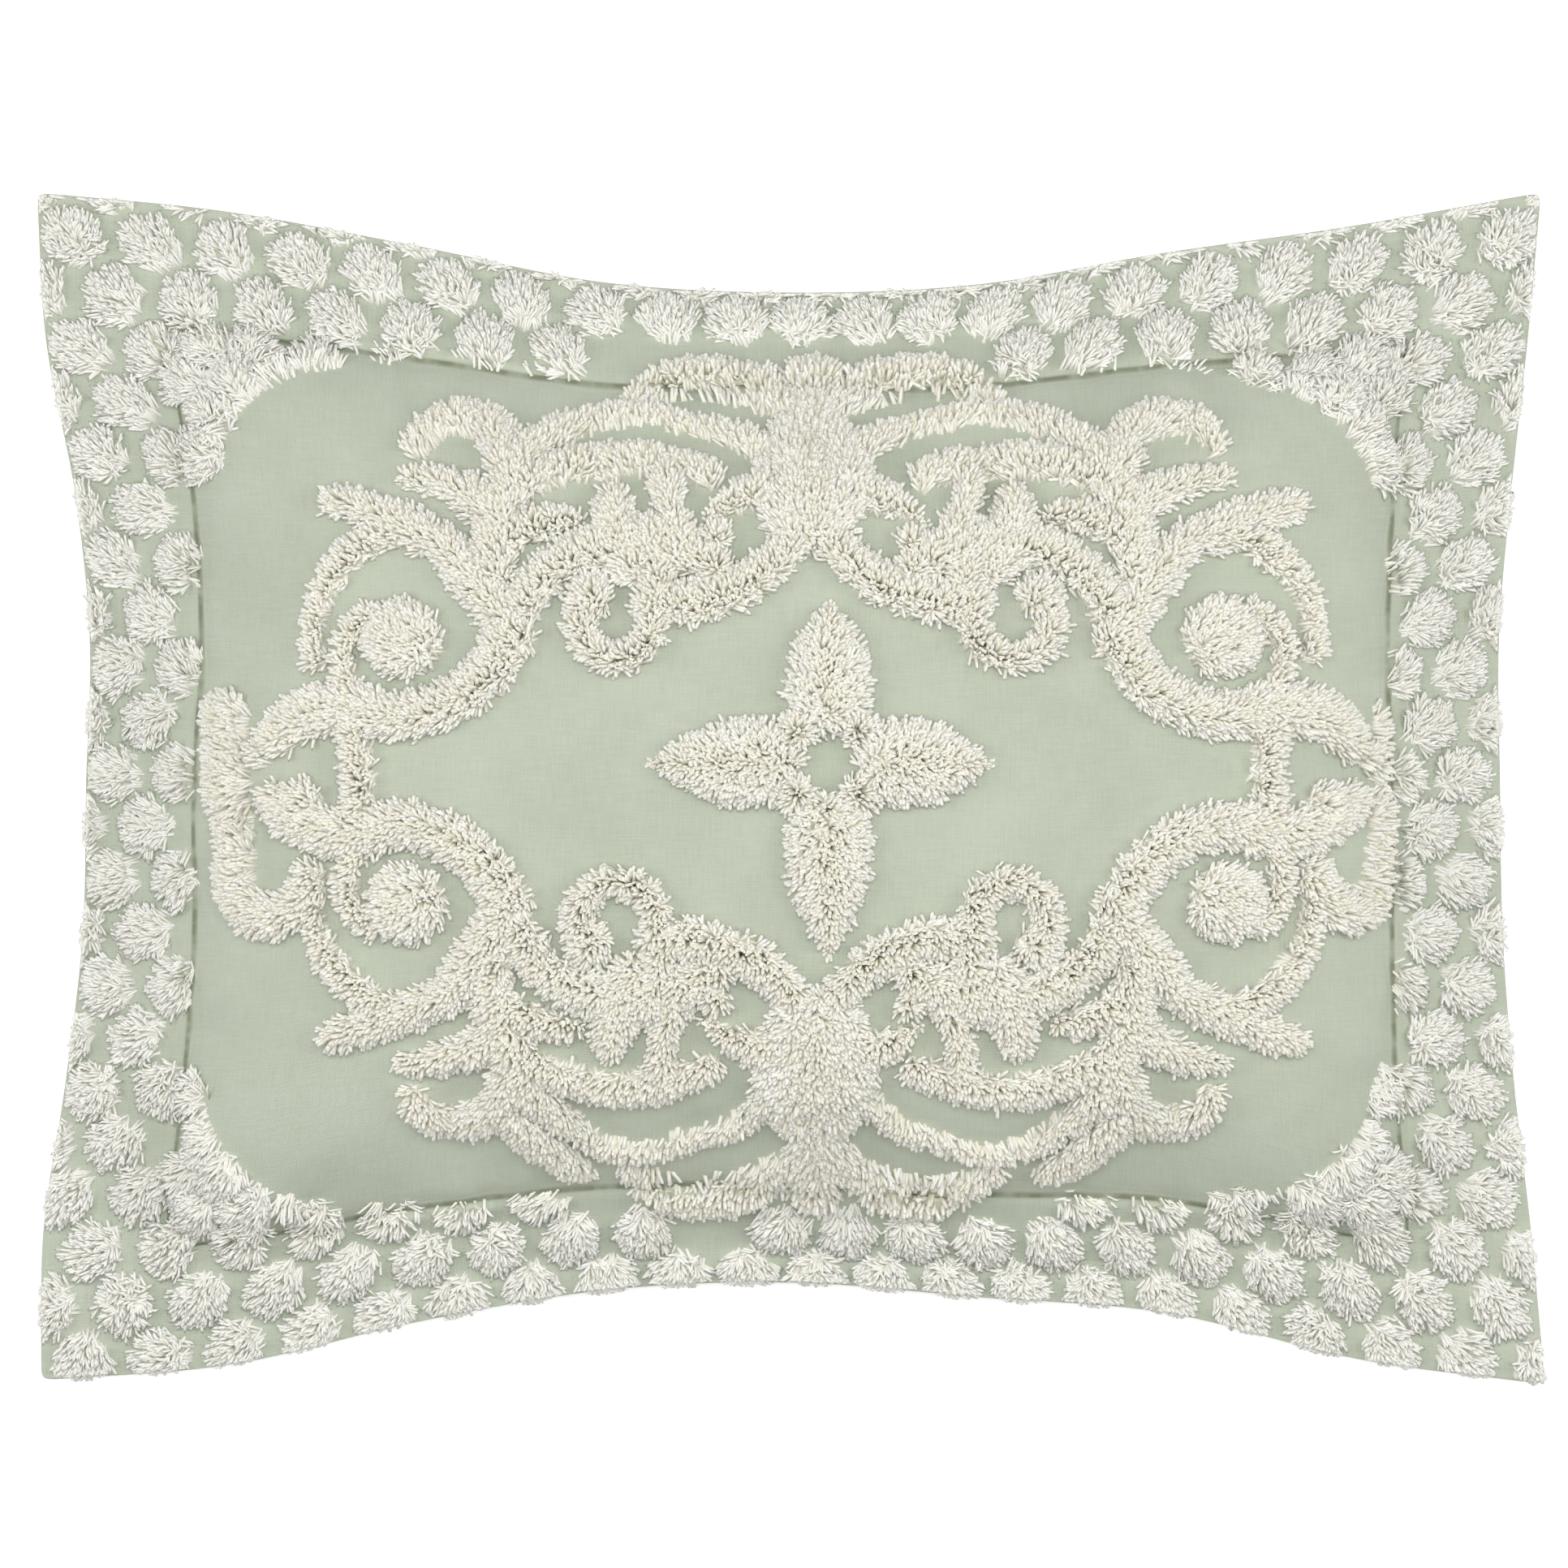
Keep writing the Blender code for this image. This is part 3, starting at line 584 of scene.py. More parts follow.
# One quarter of the medallion, in millimetres from its centre, outward along the sham and then
# up. The other three mirror it, and a half of 1 or -1 keeps a piece to the upper or lower two.
# Each stroke of pile is an arc through three places, with its half width at each of them.
Stroke = namedtuple("Stroke", "name half start middle end w_start w_middle w_end")
STROKES = (
    Stroke("arch_tail", 0, (240, 55), (238, 84), (222, 106), 7, 7, 9),
    Stroke("arch", 0, (222, 106), (197, 115), (166, 97), 9, 9, 12),
    Stroke("arch_foot", 0, (168, 99), (157, 84), (146, 64), 12, 12, 12),
    Stroke("arch_leaf", 0, (232, 129), (213, 123), (190, 114), 8, 10, 11),
    Stroke("rim_outer", 0, (262, 15), (236, 29), (207, 26), 10, 13, 12),
    Stroke("rim_inner", 0, (212, 26), (173, 33), (149, 64), 12, 12, 12),
    Stroke("ball_tail", 0, (214, 76), (226, 57), (221, 38), 7, 7, 7),
    Stroke("hook", 0, (194, 156), (172, 173), (149, 149), 7, 10, 11),
    Stroke("spur", 0, (198, 140), (178, 137), (154, 126), 6, 9, 12),
    Stroke("scroll_stem", 0, (155, 96), (151, 122), (138, 156), 12, 12, 11),
    Stroke("scroll_sweep", 0, (141, 150), (106, 176), (62, 175), 11, 7, 6),
    Stroke("scroll_end", 0, (66, 175), (40, 168), (17, 152), 6, 7, 10),
    Stroke("inner_leaf", 0, (143, 137), (100, 154), (51, 144), 9, 9, 8),
    Stroke("leaf_stalk", 0, (72, 146), (71, 128), (64, 110), 9, 8, 10),
    Stroke("side_leaf", 0, (152, 110), (134, 120), (116, 123), 10, 9, 6),
    Stroke("paw", 0, (97, 137), (97, 120), (88, 100), 6, 13, 14),
    Stroke("cross_band", 0, (141, 79), (125, 98), (98, 108), 11, 11, 13),
    Stroke("cross_band_end", 0, (98, 108), (72, 107), (46, 98), 14, 14, 9),
    Stroke("curl", 0, (113, 76), (95, 54), (77, 76), 9, 8, 9),
    Stroke("curl_neck", 0, (77, 74), (75, 88), (78, 102), 9, 10, 12),
    Stroke("valley_band", 0, (78, 80), (46, 84), (7, 113), 10, 11, 9),
    Stroke("column", 0, (0, 116), (0, 142), (0, 168), 12, 31, 12),
    Stroke("column_neck", 0, (0, 166), (0, 176), (0, 186), 12, 14, 18),
    Stroke("column_lobe", 0, (52, 122), (38, 130), (20, 135), 4, 8, 12),
    Stroke("crown_leaf", 0, (8, 182), (44, 194), (90, 186), 9, 8, 6),
    Stroke("end_link", 0, (221, 24), (220, 0), (221, -24), 9, 9, 9),
    Stroke("crescent", -1, (290, -28), (287, 4), (281, 44), 13, 12, 10),
    Stroke("crescent_hook", -1, (280, 41), (262, 69), (243, 50), 10, 12, 9),
    Stroke("foot_leaf", -1, (147, 168), (134, 180), (110, 187), 10, 10, 5),
)
Spot = namedtuple("Spot", "name half centre radius")
SPOTS = (
    Spot("ball", 0, (198, 64), 20),
    Spot("curl_ball", 0, (109, 83), 12),
    Spot("toe", 0, (46, 112), 8),
    Spot("end_lobe", 1, (271, 8), 8),
    Spot("end_node", -1, (249, 17), 12),
)
Petal = namedtuple("Petal", "heading tip")
PETAL_START_MM = 23
PETALS = (Petal(0, 76), Petal(90, 75), Petal(180, 84), Petal(270, 92))
PETAL_SHARES = (0, 0.20, 0.42, 0.62, 0.80, 1)
PETAL_HALF_WIDTHS_MM = (11, 21.5, 20.5, 15, 9, 3)
PETAL_JOINT_MM, PETAL_JOINT_RADIUS_MM = 15.5, 10  # between neighbouring petals


def arc_point(start, middle, end, t):
    """A place on the arc through three points, at share t of its turn, or on their straight line."""
    (ax, ay), (bx, by), (cx, cy) = start, middle, end
    cross = (bx - ax) * (cy - ay) - (by - ay) * (cx - ax)
    if abs(cross) < 1:
        return ax + (cx - ax) * t, ay + (cy - ay) * t
    b_square = (bx - ax) ** 2 + (by - ay) ** 2
    c_square = (cx - ax) ** 2 + (cy - ay) ** 2
    ox = ax + ((cy - ay) * b_square - (by - ay) * c_square) / (2 * cross)
    oy = ay + ((bx - ax) * c_square - (cx - ax) * b_square) / (2 * cross)
    first = atan2(ay - oy, ax - ox)
    turn = (atan2(cy - oy, cx - ox) - first) % tau
    if cross < 0:
        turn -= tau
    radius = hypot(ax - ox, ay - oy)
    return ox + radius * cos(first + turn * t), oy + radius * sin(first + turn * t)


def discs_of(start, middle, end, widths):
    """The discs (out, up, radius) in metres that a stroke of pile is made of."""
    reach = hypot(middle[0] - start[0], middle[1] - start[1])
    reach += hypot(end[0] - middle[0], end[1] - middle[1])
    count = max(2, round(reach / STROKE_STEP_MM))
    discs = []
    for k in range(count + 1):
        t = k / count
        out, up = arc_point(start, middle, end, t)
        first, mid, last = widths
        half_width = first * (1 - t) * (1 - 2 * t) + mid * 4 * t * (1 - t) + last * t * (2 * t - 1)
        discs.append((out * MM, up * MM, max(half_width, 1) * MM))
    return discs


def quarter_discs(half):
    """The discs of one upper (1) or lower (-1) quarter, drawn outward and up from the centre."""
    discs = []
    for s in STROKES:
        if s.half in (0, half):
            discs += discs_of(s.start, s.middle, s.end, (s.w_start, s.w_middle, s.w_end))
    for s in SPOTS:
        if s.half in (0, half):
            discs.append((s.centre[0] * MM, s.centre[1] * MM, s.radius * MM))
    return discs


def medallion_discs():
    """Every disc (x, y, radius) of the medallion and its flower, seen from above."""
    found = []
    for half in (1, -1):
        for out, up, radius in quarter_discs(half):
            if half < 0:
                share = min(max((FOOT_HALF_WIDTH - out) / FOOT_FADE, 0), 1)
                up += FOOT_STRETCH * max(up - FOOT_FROM, 0) * share
            y = MEDALLION_CENTRE[1] + half * up
            for side in (-1, 1):
                x = MEDALLION_CENTRE[0] + side * out
                stray = UNEVENNESS * sin(x / 0.021 + 2 * sin(y / 0.033))
                found.append((x + stray, y + UNEVENNESS * sin(y / 0.019 - x / 0.03), radius))
    for p in PETALS:
        way = radians(p.heading)
        for share in np.linspace(0, 1, round((p.tip - PETAL_START_MM) / STROKE_STEP_MM) + 1):
            out = (PETAL_START_MM + share * (p.tip - PETAL_START_MM)) * MM
            radius = float(np.interp(share, PETAL_SHARES, PETAL_HALF_WIDTHS_MM)) * MM
            x, y = FLOWER_CENTRE[0] + out * cos(way), FLOWER_CENTRE[1] + out * sin(way)
            found.append((x, y, radius))
    for x_side, y_side in ((-1, -1), (-1, 1), (1, -1), (1, 1)):
        x = FLOWER_CENTRE[0] + x_side * PETAL_JOINT_MM * MM
        y = FLOWER_CENTRE[1] + y_side * PETAL_JOINT_MM * MM
        found.append((x, y, PETAL_JOINT_RADIUS_MM * MM))
    return np.array(found)


DISCS = medallion_discs()


def past_panel(s, t):
    """How far a flat point lies outside the plain panel, and less than 0 inside it."""
    over_s = np.abs(s) - SEAM_S + PANEL_ROUNDING
    over_t = np.abs(t) - SEAM_T + PANEL_ROUNDING
    corner = np.hypot(np.maximum(over_s, 0), np.maximum(over_t, 0))
    return corner + np.minimum(np.maximum(over_s, over_t), 0) - PANEL_ROUNDING


# The border's rows stand closer where the seam gathers them: by how much, from bottom to top of
# the sham, they lie left of their even places on the left, and how much further on the right.
GATHER_AT = (-0.28, -0.15, 0.15, 0.28)
GATHER_LEFT, GATHER_RIGHT = (0.015, 0, 0, 0), (0.019, 0.038, 0.038, 0.029)
GATHER_FROM, GATHER_TO = -0.10, 0.20
PACKING, PACKED_DEPTH = 1.5, 0.06  # rows are this much closer on the pillow's steep corners


def packed(place, seam):
    """An even place across the pillow, moved to where its steep sides crowd the tufts."""
    inside = max(seam - abs(place), 0)
    moved = seam - max(inside / PACKING, inside - PACKED_DEPTH / 2)
    return moved if place > 0 else -moved


def dot_centres():
    """Centres of the border's round tufts on the flat face, in half-drop rows round the panel."""
    centres = []
    outer = DISCS[np.abs(DISCS[:, 1]) > CUT_HEIGHT / 4]
    for row in range(int(CUT_HEIGHT / DOT_ROW) + 2):
        even_t = FIRST_DOT[1] - row * DOT_ROW
        for column in range(-1, int(CUT_WIDTH / DOT_PITCH) + 4):
            even_s = FIRST_DOT[0] + (column - 0.5 * (row % 2)) * DOT_PITCH
            share = min(max((even_s - GATHER_FROM) / (GATHER_TO - GATHER_FROM), 0), 1)
            s = even_s - np.interp(even_t, GATHER_AT, GATHER_LEFT)
            s -= np.interp(even_t, GATHER_AT, GATHER_RIGHT) * share * share * (3 - 2 * share)
            t = even_t
            if abs(s) < SEAM_S and abs(t) < SEAM_T:
                s, t = packed(s, SEAM_S), packed(t, SEAM_T)
            if past_panel(s, t) < -DOT_RADIUS / 2 or abs(s) > CUT_WIDTH / 2 + DOT_RADIUS / 2:
                continue
            x, y = lay(np.array(s), np.array(t))
            clear = np.hypot(outer[:, 0] - x, outer[:, 1] - y) > outer[:, 2] + DOT_RADIUS / 2
            if clear.all():
                centres.append((s, t))
    return np.array(centres)


BED_STEP = 0.002
DOT_BED, DOT_BED_RADIUS = 0.0046, 0.0138
BAND_BED, BAND_BED_RISE, BAND_BED_INSET = 0.0048, 0.0065, 0.0026
FOLD_MARGIN = 0.0008
DOTS = dot_centres()
bed_s = np.linspace(-CUT_WIDTH / 2, CUT_WIDTH / 2, round(CUT_WIDTH / BED_STEP) + 1)
bed_t = np.linspace(-CUT_HEIGHT / 2, CUT_HEIGHT / 2, round(CUT_HEIGHT / BED_STEP) + 1)
grid_s, grid_t = [rows.ravel() for rows in np.meshgrid(bed_s, bed_t)]
bed = np.zeros(len(grid_s))
for s, t in DOTS:
    out = ((grid_s - s) ** 2 + (grid_t - t) ** 2) / DOT_BED_RADIUS**2
    bed = np.maximum(bed, DOT_BED * (1 - out))
past = past_panel(grid_s, grid_t)
to_fold = np.minimum(CUT_WIDTH / 2 - np.abs(grid_s), CUT_HEIGHT / 2 - np.abs(grid_t))
bed *= np.clip(past / (2 * BED_STEP) - 0.5, 0, 1) * np.clip(to_fold / (2 * BED_STEP), 0, 1)
in_reach = np.nonzero(past < DOT_RADIUS)[0]
seen_x, seen_y = lay(grid_s[in_reach], grid_t[in_reach])
depth = np.full(len(in_reach), -1.0)
for x, y, radius in DISCS:
    depth = np.maximum(depth, radius - np.hypot(seen_x - x, seen_y - y))
depth = np.minimum(depth, SEAM_S - np.abs(grid_s[in_reach]))
risen = np.sqrt(np.clip((depth - BAND_BED_INSET) / BAND_BED_RISE, 0, 1))
bed[in_reach] = np.maximum(bed[in_reach], BAND_BED * risen)
HEIGHTS = Surface(bed.reshape(len(bed_t), len(bed_s), 1), bed_s, bed_t)
point, _, _, out = lie_of(FACE, grid_s, grid_t)
BED = Surface((point + bed[:, None] * out).reshape(len(bed_t), len(bed_s), 3), bed_s, bed_t)

corners = np.empty(len(cover.data.loops), int)
cover.data.loops.foreach_get("vertex_index", corners)
corner_place = np.empty(2 * len(corners))
cover.data.uv_layers["flat_cloth"].uv.foreach_get("vector", corner_place)
place = np.zeros((len(cover.data.vertices), 2))
place[corners] = corner_place.reshape(-1, 2)
facing = np.empty(len(place))
cover.data.attributes["face_side"].data.foreach_get("value", facing)
raised = np.where(facing > 0.9, points_on(HEIGHTS, place[:, 0], place[:, 1])[:, 0], 0)
spot = np.empty(3 * len(place))
cover.data.vertices.foreach_get("co", spot)
normal = lie_of(FACE, place[:, 0], place[:, 1])[3]
cover.data.vertices.foreach_set("co", spot + (raised[:, None] * normal).ravel())
under_pile = cover.data.attributes.new("under_pile", "FLOAT", "POINT")
under_pile.data.foreach_set("value", np.clip(2 * raised / BAND_BED - 0.5, 0, 1))

# ---------------------------------------------------------------- the tufted border
# Round tufts of soft cotton yarn in half-drop rows, cut to length. The ends of a tuft fan out
# from its middle, combed towards the edge of the sham, and hang over its rim.
DOT_YARN_RADII = (0.00098, 0.00078)  # packed at the root, and near the cut end
ROOT_DEPTH = 0.0012
DOT_BEND = ((0.76, 0.85, 0.6), (1.0, 1.3, 1.4))  # share of length, tilt, swing
YARN_SIDES = 3
SWING = 0.3  # radians that a yarn end curls sideways, as a spread
MOST_LEAN = radians(100)
YARN_CLEARANCE, MOST_LIFT = 0.0008, 0.004
LOCK, LOCKING = 0.0024, 0.4
TRIM = (0.0009, 0.0016)  # the ends are cut this far short of the folded edge
LEAST_HEIGHT = 0.0012  # of the middle of a yarn end, over what the sham lies on


def locks(place):
    """A leaning that neighbouring ends share, which draws them together in locks."""
    s, t = place.T / LOCK
    return np.stack((np.sin(s + 1.7 * np.sin(0.9 * t)), np.sin(1.3 * t + 1.9 * np.sin(0.8 * s))), 1)


def place_below(point, s, t):
    """The flat places below some points, found from places not far off."""
    ground, along, up, _ = lie_of(BED, s, t)
    gone = point - ground
    nearer_s = s + (gone * along).sum(1) / (along**2).sum(1)
    nearer_t = t + (gone * up).sum(1) / (up**2).sum(1)
    nearer_s = np.clip(nearer_s, -CUT_WIDTH / 2, CUT_WIDTH / 2)
    return nearer_s, np.clip(nearer_t, -CUT_HEIGHT / 2, CUT_HEIGHT / 2)


def pile(name, place, way, tilt, length, pale, bend, radii, draw):
    """Yarn ends rooted at flat places (s, t), each leaning by tilt towards its way on the bed."""
    s, t = place[:, 0], place[:, 1]
    root, along, up, out = lie_of(BED, s, t)
    ahead = unit(way[:, :1] * unit(along) + way[:, 1:] * unit(up))
    beside = np.cross(out, ahead)
    swing = draw.normal(0, SWING, (len(s), 1))
    trim = draw.uniform(*TRIM, len(s))
    side, end = np.sign(s), np.sign(t)
    spine = [root - out * ROOT_DEPTH]
    done = 0
    below_s, below_t = s, t
    for share, lean, turn in bend:
        angle = np.minimum(tilt * lean, MOST_LEAN)[:, None]
        heading = unit(ahead + beside * swing * turn)
        reach = (length * (share - done))[:, None]
        point = spine[-1] + reach * (np.cos(angle) * out + np.sin(angle) * heading)
        done = share
        below_s, below_t = place_below(point, below_s, below_t)
        fold_x = side * points_on(FACE, side * CUT_WIDTH / 2, below_t)[:, 0] - trim
        fold_y = end * points_on(FACE, below_s, end * CUT_HEIGHT / 2)[:, 1] - trim
        point[:, 0] = side * np.minimum(side * point[:, 0], fold_x)
        point[:, 1] = end * np.minimum(end * point[:, 1], fold_y)
        below_s, below_t = place_below(point, below_s, below_t)
        ground, _, _, ground_out = lie_of(BED, below_s, below_t)
        lift = YARN_CLEARANCE - ((point - ground) * ground_out).sum(1)
        point = point + ground_out * np.clip(lift, 0, MOST_LIFT)[:, None]
        point[:, 2] = np.maximum(point[:, 2], LEAST_HEIGHT)
        spine.append(point)
    piece = tubes(name, np.stack(spine, 1), -beside, radii, YARN_SIDES)
    each = len(piece.data.vertices) // len(s)
    tint = piece.data.attributes.new("tint", "FLOAT", "POINT")
    tint.data.foreach_set("value", np.repeat(pale, each))
    # How far up its yarn each point lies, which the pile's material turns into painted shade down in
    # the pile.
    height = piece.data.attributes.new("up_the_yarn", "FLOAT", "POINT")
    rise = [0, *[share for share, _, _ in bend]]
    height.data.foreach_set("value", np.tile([*np.repeat(rise[:-1], YARN_SIDES), 1], len(s)))
    return piece


# Soft ivory cotton, each end its own tint, with painted shade: darker and warmer down in the pile, and
# paler at the cut ends.
IVORY_WARM_AND_SHADED, IVORY, IVORY_PALE = tone(230, 227, 201), tone(242, 239, 226), tone(249, 249, 243)
chenille = Finish("chenille_pile", Roughness=0.95, Sheen_Weight=0.1, Sheen_Roughness=0.5)
tint = chenille.node("ShaderNodeAttribute", {"attribute_name": "tint"}, output="Fac")
height = chenille.node("ShaderNodeAttribute", {"attribute_name": "up_the_yarn"}, output="Fac")
inside = chenille.node("ShaderNodeTexCoord", output="Object")
fibres = chenille.node("ShaderNodeTexNoise", sockets={"Vector": inside, "Scale": 1600.0, "Detail": 1.0})
# Painted shade: the lower a point lies along its end, the darker and warmer its colour, down in the
# pile.
paleness_and_painted_shade = 0.35 * height + 0.6 * tint + 0.15 * fibres
yarn = ((0.1, IVORY_WARM_AND_SHADED), (0.5, IVORY), (0.9, IVORY_PALE))
chenille.feed("Base Color", chenille.node("ShaderNodeValToRGB", {"stops": yarn}, {"Fac": paleness_and_painted_shade}))
fuzz = chenille.node("ShaderNodeBump", sockets={"Height": fibres, "Strength": 0.5, "Distance": 0.0002})
chenille.feed("Normal", fuzz)

ENDS_IN_DOT = 204
DOT_FILLED = 0.0139  # radius of the round that the middles of the ends fill
DOT_YARN, DOT_TILT = 0.0106, (66, 82)  # and from the middle of a tuft to its rim
GOLDEN_TURN = pi * (3 - sqrt(5))
DOT_TURN_SPREAD, DOT_FAN_SPREAD, DOT_FAN_WAVE = 0.15, 0.25, 0.3  # radians
DOT_RAGGED = 0.06  # share of the radius and of the length
DOT_SPLAY = (0.1, 0.75)  # how far the ends point away from the tuft's middle, there and at its rim
DOT_TILT_SPREAD = 7
DOT_COMB, DOT_COMB_SPREAD = 0.95, 0.3
LENGTH_SPREAD = 0.1
DOT_PALE, DOT_PALE_SPREAD = (0.66, 0.91), 0.15  # in the middle of a tuft and at its rim


def between(ends, share):
    """The value at share of the way from the first of two ends to the second."""
    return ends[0] + (ends[1] - ends[0]) * share


def tuft_ends(centre, draw):
    """Places, ways, tilts, lengths and paleness of one round tuft's yarn ends."""
    out = np.sqrt((np.arange(ENDS_IN_DOT) + 0.5) / ENDS_IN_DOT)
    turn = np.arange(ENDS_IN_DOT) * GOLDEN_TURN + draw.uniform(0, tau)
    turn += draw.normal(0, DOT_TURN_SPREAD, ENDS_IN_DOT)
    ragged = 1 + DOT_RAGGED * np.sin(2 * turn + draw.uniform(0, tau))
    ragged += DOT_RAGGED * np.sin(5 * turn + draw.uniform(0, tau))
    middle = centre + (DOT_FILLED * out * ragged)[:, None] * np.stack((np.cos(turn), np.sin(turn)), 1)
    fan = turn + DOT_FAN_WAVE * np.sin(3 * turn + draw.uniform(0, tau))
    fan += draw.normal(0, DOT_FAN_SPREAD, ENDS_IN_DOT)
    combed = DOT_COMB * unit(centre * (1, CUT_WIDTH / CUT_HEIGHT)) + draw.normal(0, DOT_COMB_SPREAD, 2)
    way = np.stack((np.cos(fan), np.sin(fan)), 1) * between(DOT_SPLAY, out)[:, None]
    way = unit(way + combed + LOCKING * locks(middle))
    tilt = np.radians(between(DOT_TILT, out) + draw.normal(0, DOT_TILT_SPREAD, ENDS_IN_DOT))
    length = DOT_YARN * ragged * draw.normal(1, LENGTH_SPREAD, ENDS_IN_DOT)
    place = middle - 0.5 * (length * np.sin(tilt))[:, None] * way
    pale = between(DOT_PALE, out) + draw.normal(0, DOT_PALE_SPREAD, ENDS_IN_DOT)
    return np.column_stack((place, way, tilt, length, pale))


along_side = np.abs(DOTS[:, 0]) / CUT_WIDTH > np.abs(DOTS[:, 1]) / CUT_HEIGHT
BORDERS = {
    "border_tufts_left": along_side & (DOTS[:, 0] < 0),
    "border_tufts_right": along_side & (DOTS[:, 0] > 0),
    "border_tufts_bottom": ~along_side & (DOTS[:, 1] < 0),
    "border_tufts_top": ~along_side & (DOTS[:, 1] > 0),
}
OVER_PANEL = 0.001  # how far the border's ends may stand in the plain panel
LEAN_LIMITS = (5, 80)  # degrees
for number, (name, which) in enumerate(BORDERS.items()):
    draw = np.random.default_rng(40 + number)
    ends = np.concatenate([tuft_ends(centre, draw) for centre in DOTS[which]])
    within_s = np.abs(ends[:, 0]) < CUT_WIDTH / 2 - FOLD_MARGIN
    within_t = np.abs(ends[:, 1]) < CUT_HEIGHT / 2 - FOLD_MARGIN
    ends = ends[within_s & within_t & (past_panel(ends[:, 0], ends[:, 1]) > -OVER_PANEL)]
    place, way, (tilt, length, pale) = ends[:, :2], ends[:, 2:4], ends[:, 4:].T
    tilt = np.clip(tilt, *np.radians(LEAN_LIMITS))
    piece = pile(name, place, way, tilt, length, pale, DOT_BEND, DOT_YARN_RADII, draw)
    piece.data.materials.append(chenille.material)
    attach(piece, "root")

# ---------------------------------------------------------------- the medallion and its flower
# Bands of the same yarn in close rows. The ends splay outward across a band and lean down the
# slope of the pillow, away from its middle, and the flower's four petals are tufted the same way.
BAND_PITCH = 0.00162
BAND_INSET, BAND_LEAST = 0.0024, 0.0022  # the ends' middles keep this far in from a drawn outline
BAND_YARN, BAND_TILT = 0.0092, (28, 60)
BAND_YARN_RADII = (0.0012, 0.00105)
BAND_BEND = ((0.84, 0.94, 0.7), (1.0, 1.3, 1.2))
BAND_RAGGED = 0.0007
BAND_STRAY = 0.45  # share of the pitch that a yarn end stands off its even place
BAND_SPLAY = (0.1, 0.8)  # how far the ends point across a band, in its middle and at its edge
DOWNHILL, OUTWARD = 2.2, 0.4  # how much of their way is down the slope, and from the middle
WAY_SPREAD = 0.2
BAND_TILT_SPREAD, BAND_LEAN_LIMITS = 9, (5, 75)
FULL_LENGTH_FROM, SHORTEST = 0.0075, 0.55  # a band narrower than twice this has shorter ends
BAND_PALE, BAND_PALE_SPREAD = (0.25, 0.6), 0.17  # in the middle of a band and at its edge
OVER_LONG_SEAM, WITHIN_SIDE_SEAM = 0.03, 0.001
SLOPE_REACH = 0.006
PLACES_AT_ONCE = 1500


def downhill(place):
    """Which way the cloth slopes round flat places, as long as the slope is steep."""
    nearby = [place + offset for offset in SLOPE_REACH * np.array(((-1, 0), (1, 0), (0, -1), (0, 1)))]
    return sum(lie_of(FACE, near[:, 0], near[:, 1])[3][:, :2] for near in nearby) / len(nearby)


across_s = np.arange(-SEAM_S, SEAM_S, BAND_PITCH)
up_t = np.arange(-SEAM_T - OVER_LONG_SEAM, SEAM_T + OVER_LONG_SEAM, BAND_PITCH)
grid_s, grid_t = np.meshgrid(across_s, up_t)
draw = np.random.default_rng(5)
places = np.stack((grid_s.ravel(), grid_t.ravel()), 1)
places += draw.uniform(-BAND_STRAY, BAND_STRAY, places.shape) * BAND_PITCH
places = places[np.abs(places[:, 0]) < SEAM_S - WITHIN_SIDE_SEAM]
seen = np.stack(lay(places[:, 0], places[:, 1]), 1)
reach = np.maximum(DISCS[:, 2] - BAND_INSET, BAND_LEAST)
kept, nearest = [], []
for first in range(0, len(places), PLACES_AT_ONCE):
    near = seen[first : first + PLACES_AT_ONCE]
    depth = reach - np.hypot(near[:, :1] - DISCS[:, 0], near[:, 1:] - DISCS[:, 1])
    depth += draw.normal(0, BAND_RAGGED, (len(near), 1))
    best = np.argmax(depth, 1)
    inside = np.nonzero(depth[np.arange(len(near)), best] > 0)[0]
    kept.append(first + inside)
    nearest.append(best[inside])
kept, nearest = np.concatenate(kept), np.concatenate(nearest)
places, seen = places[kept], seen[kept]
off = seen - DISCS[nearest, :2]
edge_share = np.linalg.norm(off, axis=1) / reach[nearest]

slope = downhill(places)
steepness = np.linalg.norm(slope, axis=1)
off_centre = seen - MEDALLION_CENTRE
way = unit(off) * between(BAND_SPLAY, edge_share)[:, None] + DOWNHILL * slope
way += draw.normal(0, WAY_SPREAD, places.shape)
way += OUTWARD * unit(off_centre) + LOCKING * locks(places)
combing = np.clip(edge_share + steepness, 0, 1)
tilt = between(BAND_TILT, combing) + draw.normal(0, BAND_TILT_SPREAD, len(places))
tilt = np.radians(np.clip(tilt, *BAND_LEAN_LIMITS))
length = BAND_YARN * draw.normal(1, LENGTH_SPREAD, len(places))
length *= np.clip(DISCS[nearest, 2] / FULL_LENGTH_FROM, SHORTEST, 1)
roots = places - 0.5 * (length * np.sin(tilt))[:, None] * unit(way)
pale = between(BAND_PALE, edge_share) + draw.normal(0, BAND_PALE_SPREAD, len(places))

FLOWER_REACH = 0.1  # out and up together, from the flower's centre
in_flower = np.abs(seen - FLOWER_CENTRE).sum(1) < FLOWER_REACH
at_left, at_right = off_centre[:, 0] < 0, off_centre[:, 0] > 0
above, below = off_centre[:, 1] > 0, off_centre[:, 1] < 0
PARTS = {
    "scrolls_upper_left": ~in_flower & at_left & above,
    "scrolls_upper_right": ~in_flower & at_right & above,
    "scrolls_lower_left": ~in_flower & at_left & below,
    "scrolls_lower_right": ~in_flower & at_right & below,
    "flower": in_flower,
}
for name, which in PARTS.items():
    ends = [values[which] for values in (roots, way, tilt, length, pale)]
    piece = pile(name, *ends, BAND_BEND, BAND_YARN_RADII, draw)
    piece.data.materials.append(chenille.material)
    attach(piece, "root")

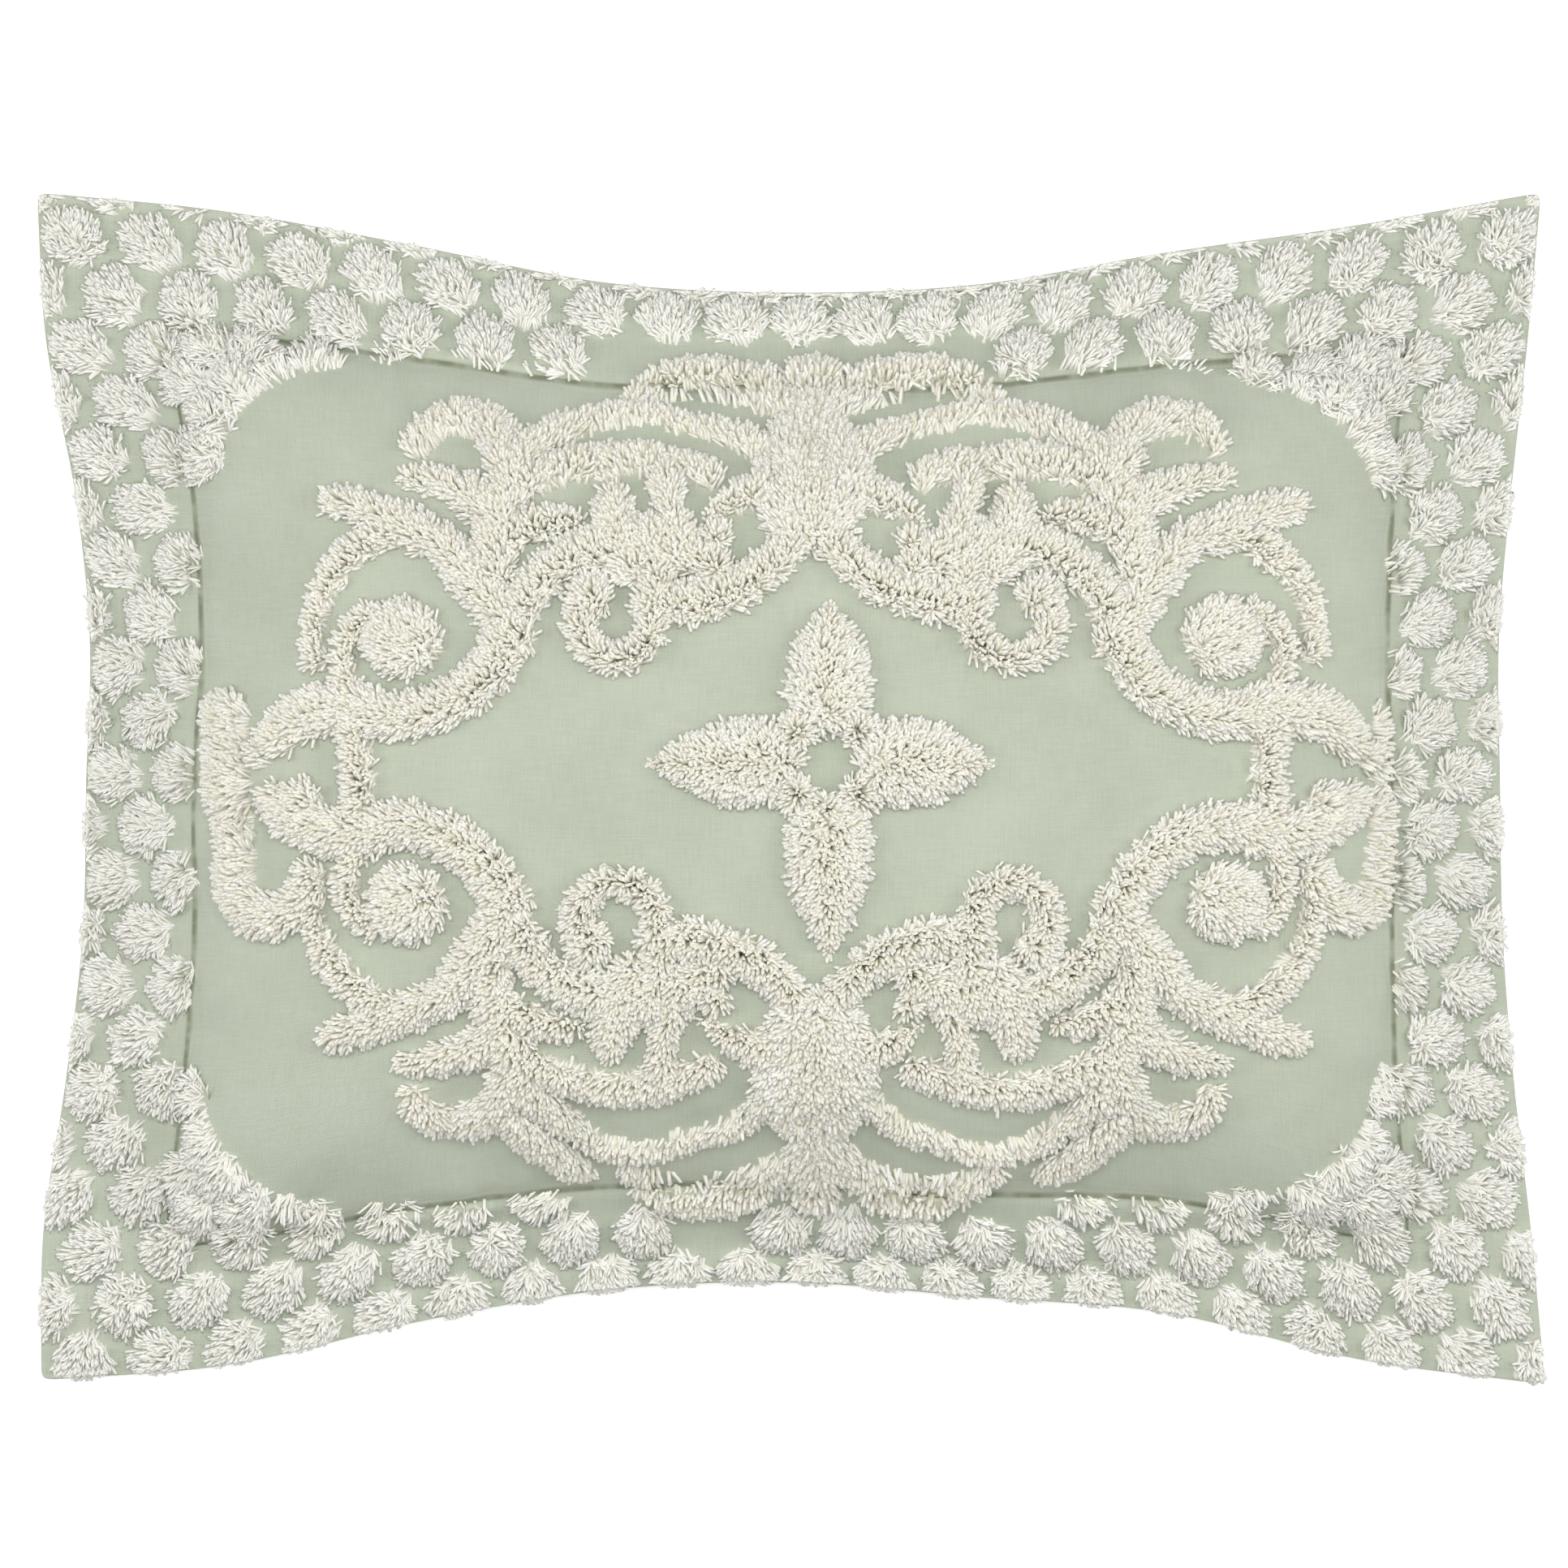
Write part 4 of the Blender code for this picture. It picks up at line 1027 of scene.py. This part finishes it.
# ---------------------------------------------------------------- the studio
# A pale floor in a white surround, soft light from above and from both sides, and a camera far
# above the middle of the sham with a long lens.
FLOOR, FLOOR_DROP = 24, 0.0006
SURROUND_LIGHT = 0.22
bpy.ops.mesh.primitive_plane_add(size=FLOOR, location=(0, 0, -FLOOR_DROP))
floor = bpy.context.active_object
floor.name = "floor"
paper = Finish("studio_paper", Roughness=0.9, Emission_Strength=0.36)
paper.feed("Base Color", (0.97, 0.97, 0.97, 1.0))
paper.feed("Emission Color", (1, 1, 1, 1))
floor.data.materials.append(paper.material)

world = bpy.data.worlds.new("surround")
world.use_nodes = True
surround = world.node_tree.nodes["Background"].inputs
surround["Color"].default_value = (1, 1, 1, 1)
surround["Strength"].default_value = SURROUND_LIGHT
bpy.context.scene.world = world

# Each softbox's place, its size, and the share of the light that it gives the sham's middle,
# which falls with the square of its distance and with its slant.
Softbox = namedtuple("Softbox", "place size share")
SOFTBOXES = (
    Softbox((-2.2, 0.2, 1.9), 1.8, 0.2),
    Softbox((2.2, 0.2, 1.9), 1.8, 0.21),
    Softbox((0, 0.4, 5), 2.2, 0.56),
)
for place, size, share in SOFTBOXES:
    away = hypot(*place)
    bpy.ops.object.light_add(type="AREA", location=place)
    softbox = bpy.context.active_object
    softbox.rotation_euler = (-atan2(place[1], hypot(place[0], place[2])), atan2(place[0], place[2]), 0)
    softbox.data.size = size
    softbox.data.energy = share * pi**2 * away**3 / place[2]
    softbox.visible_camera = False

PICTURE_WIDTH = 0.7728  # of what the camera sees at the height of the flange
PICTURE_MIDDLE = (-0.0034, 0.0021)
CAMERA_HEIGHT, SENSOR = 7.0, 36
bpy.ops.object.camera_add(location=(*PICTURE_MIDDLE, CAMERA_HEIGHT), rotation=(0, 0, 0))
camera = bpy.context.active_object
camera.data.sensor_width = SENSOR
camera.data.lens = SENSOR * (CAMERA_HEIGHT - EDGE_HEIGHT) / PICTURE_WIDTH
camera.data.clip_end = 100
bpy.context.scene.camera = camera
bpy.context.scene.view_settings.view_transform = "Standard"
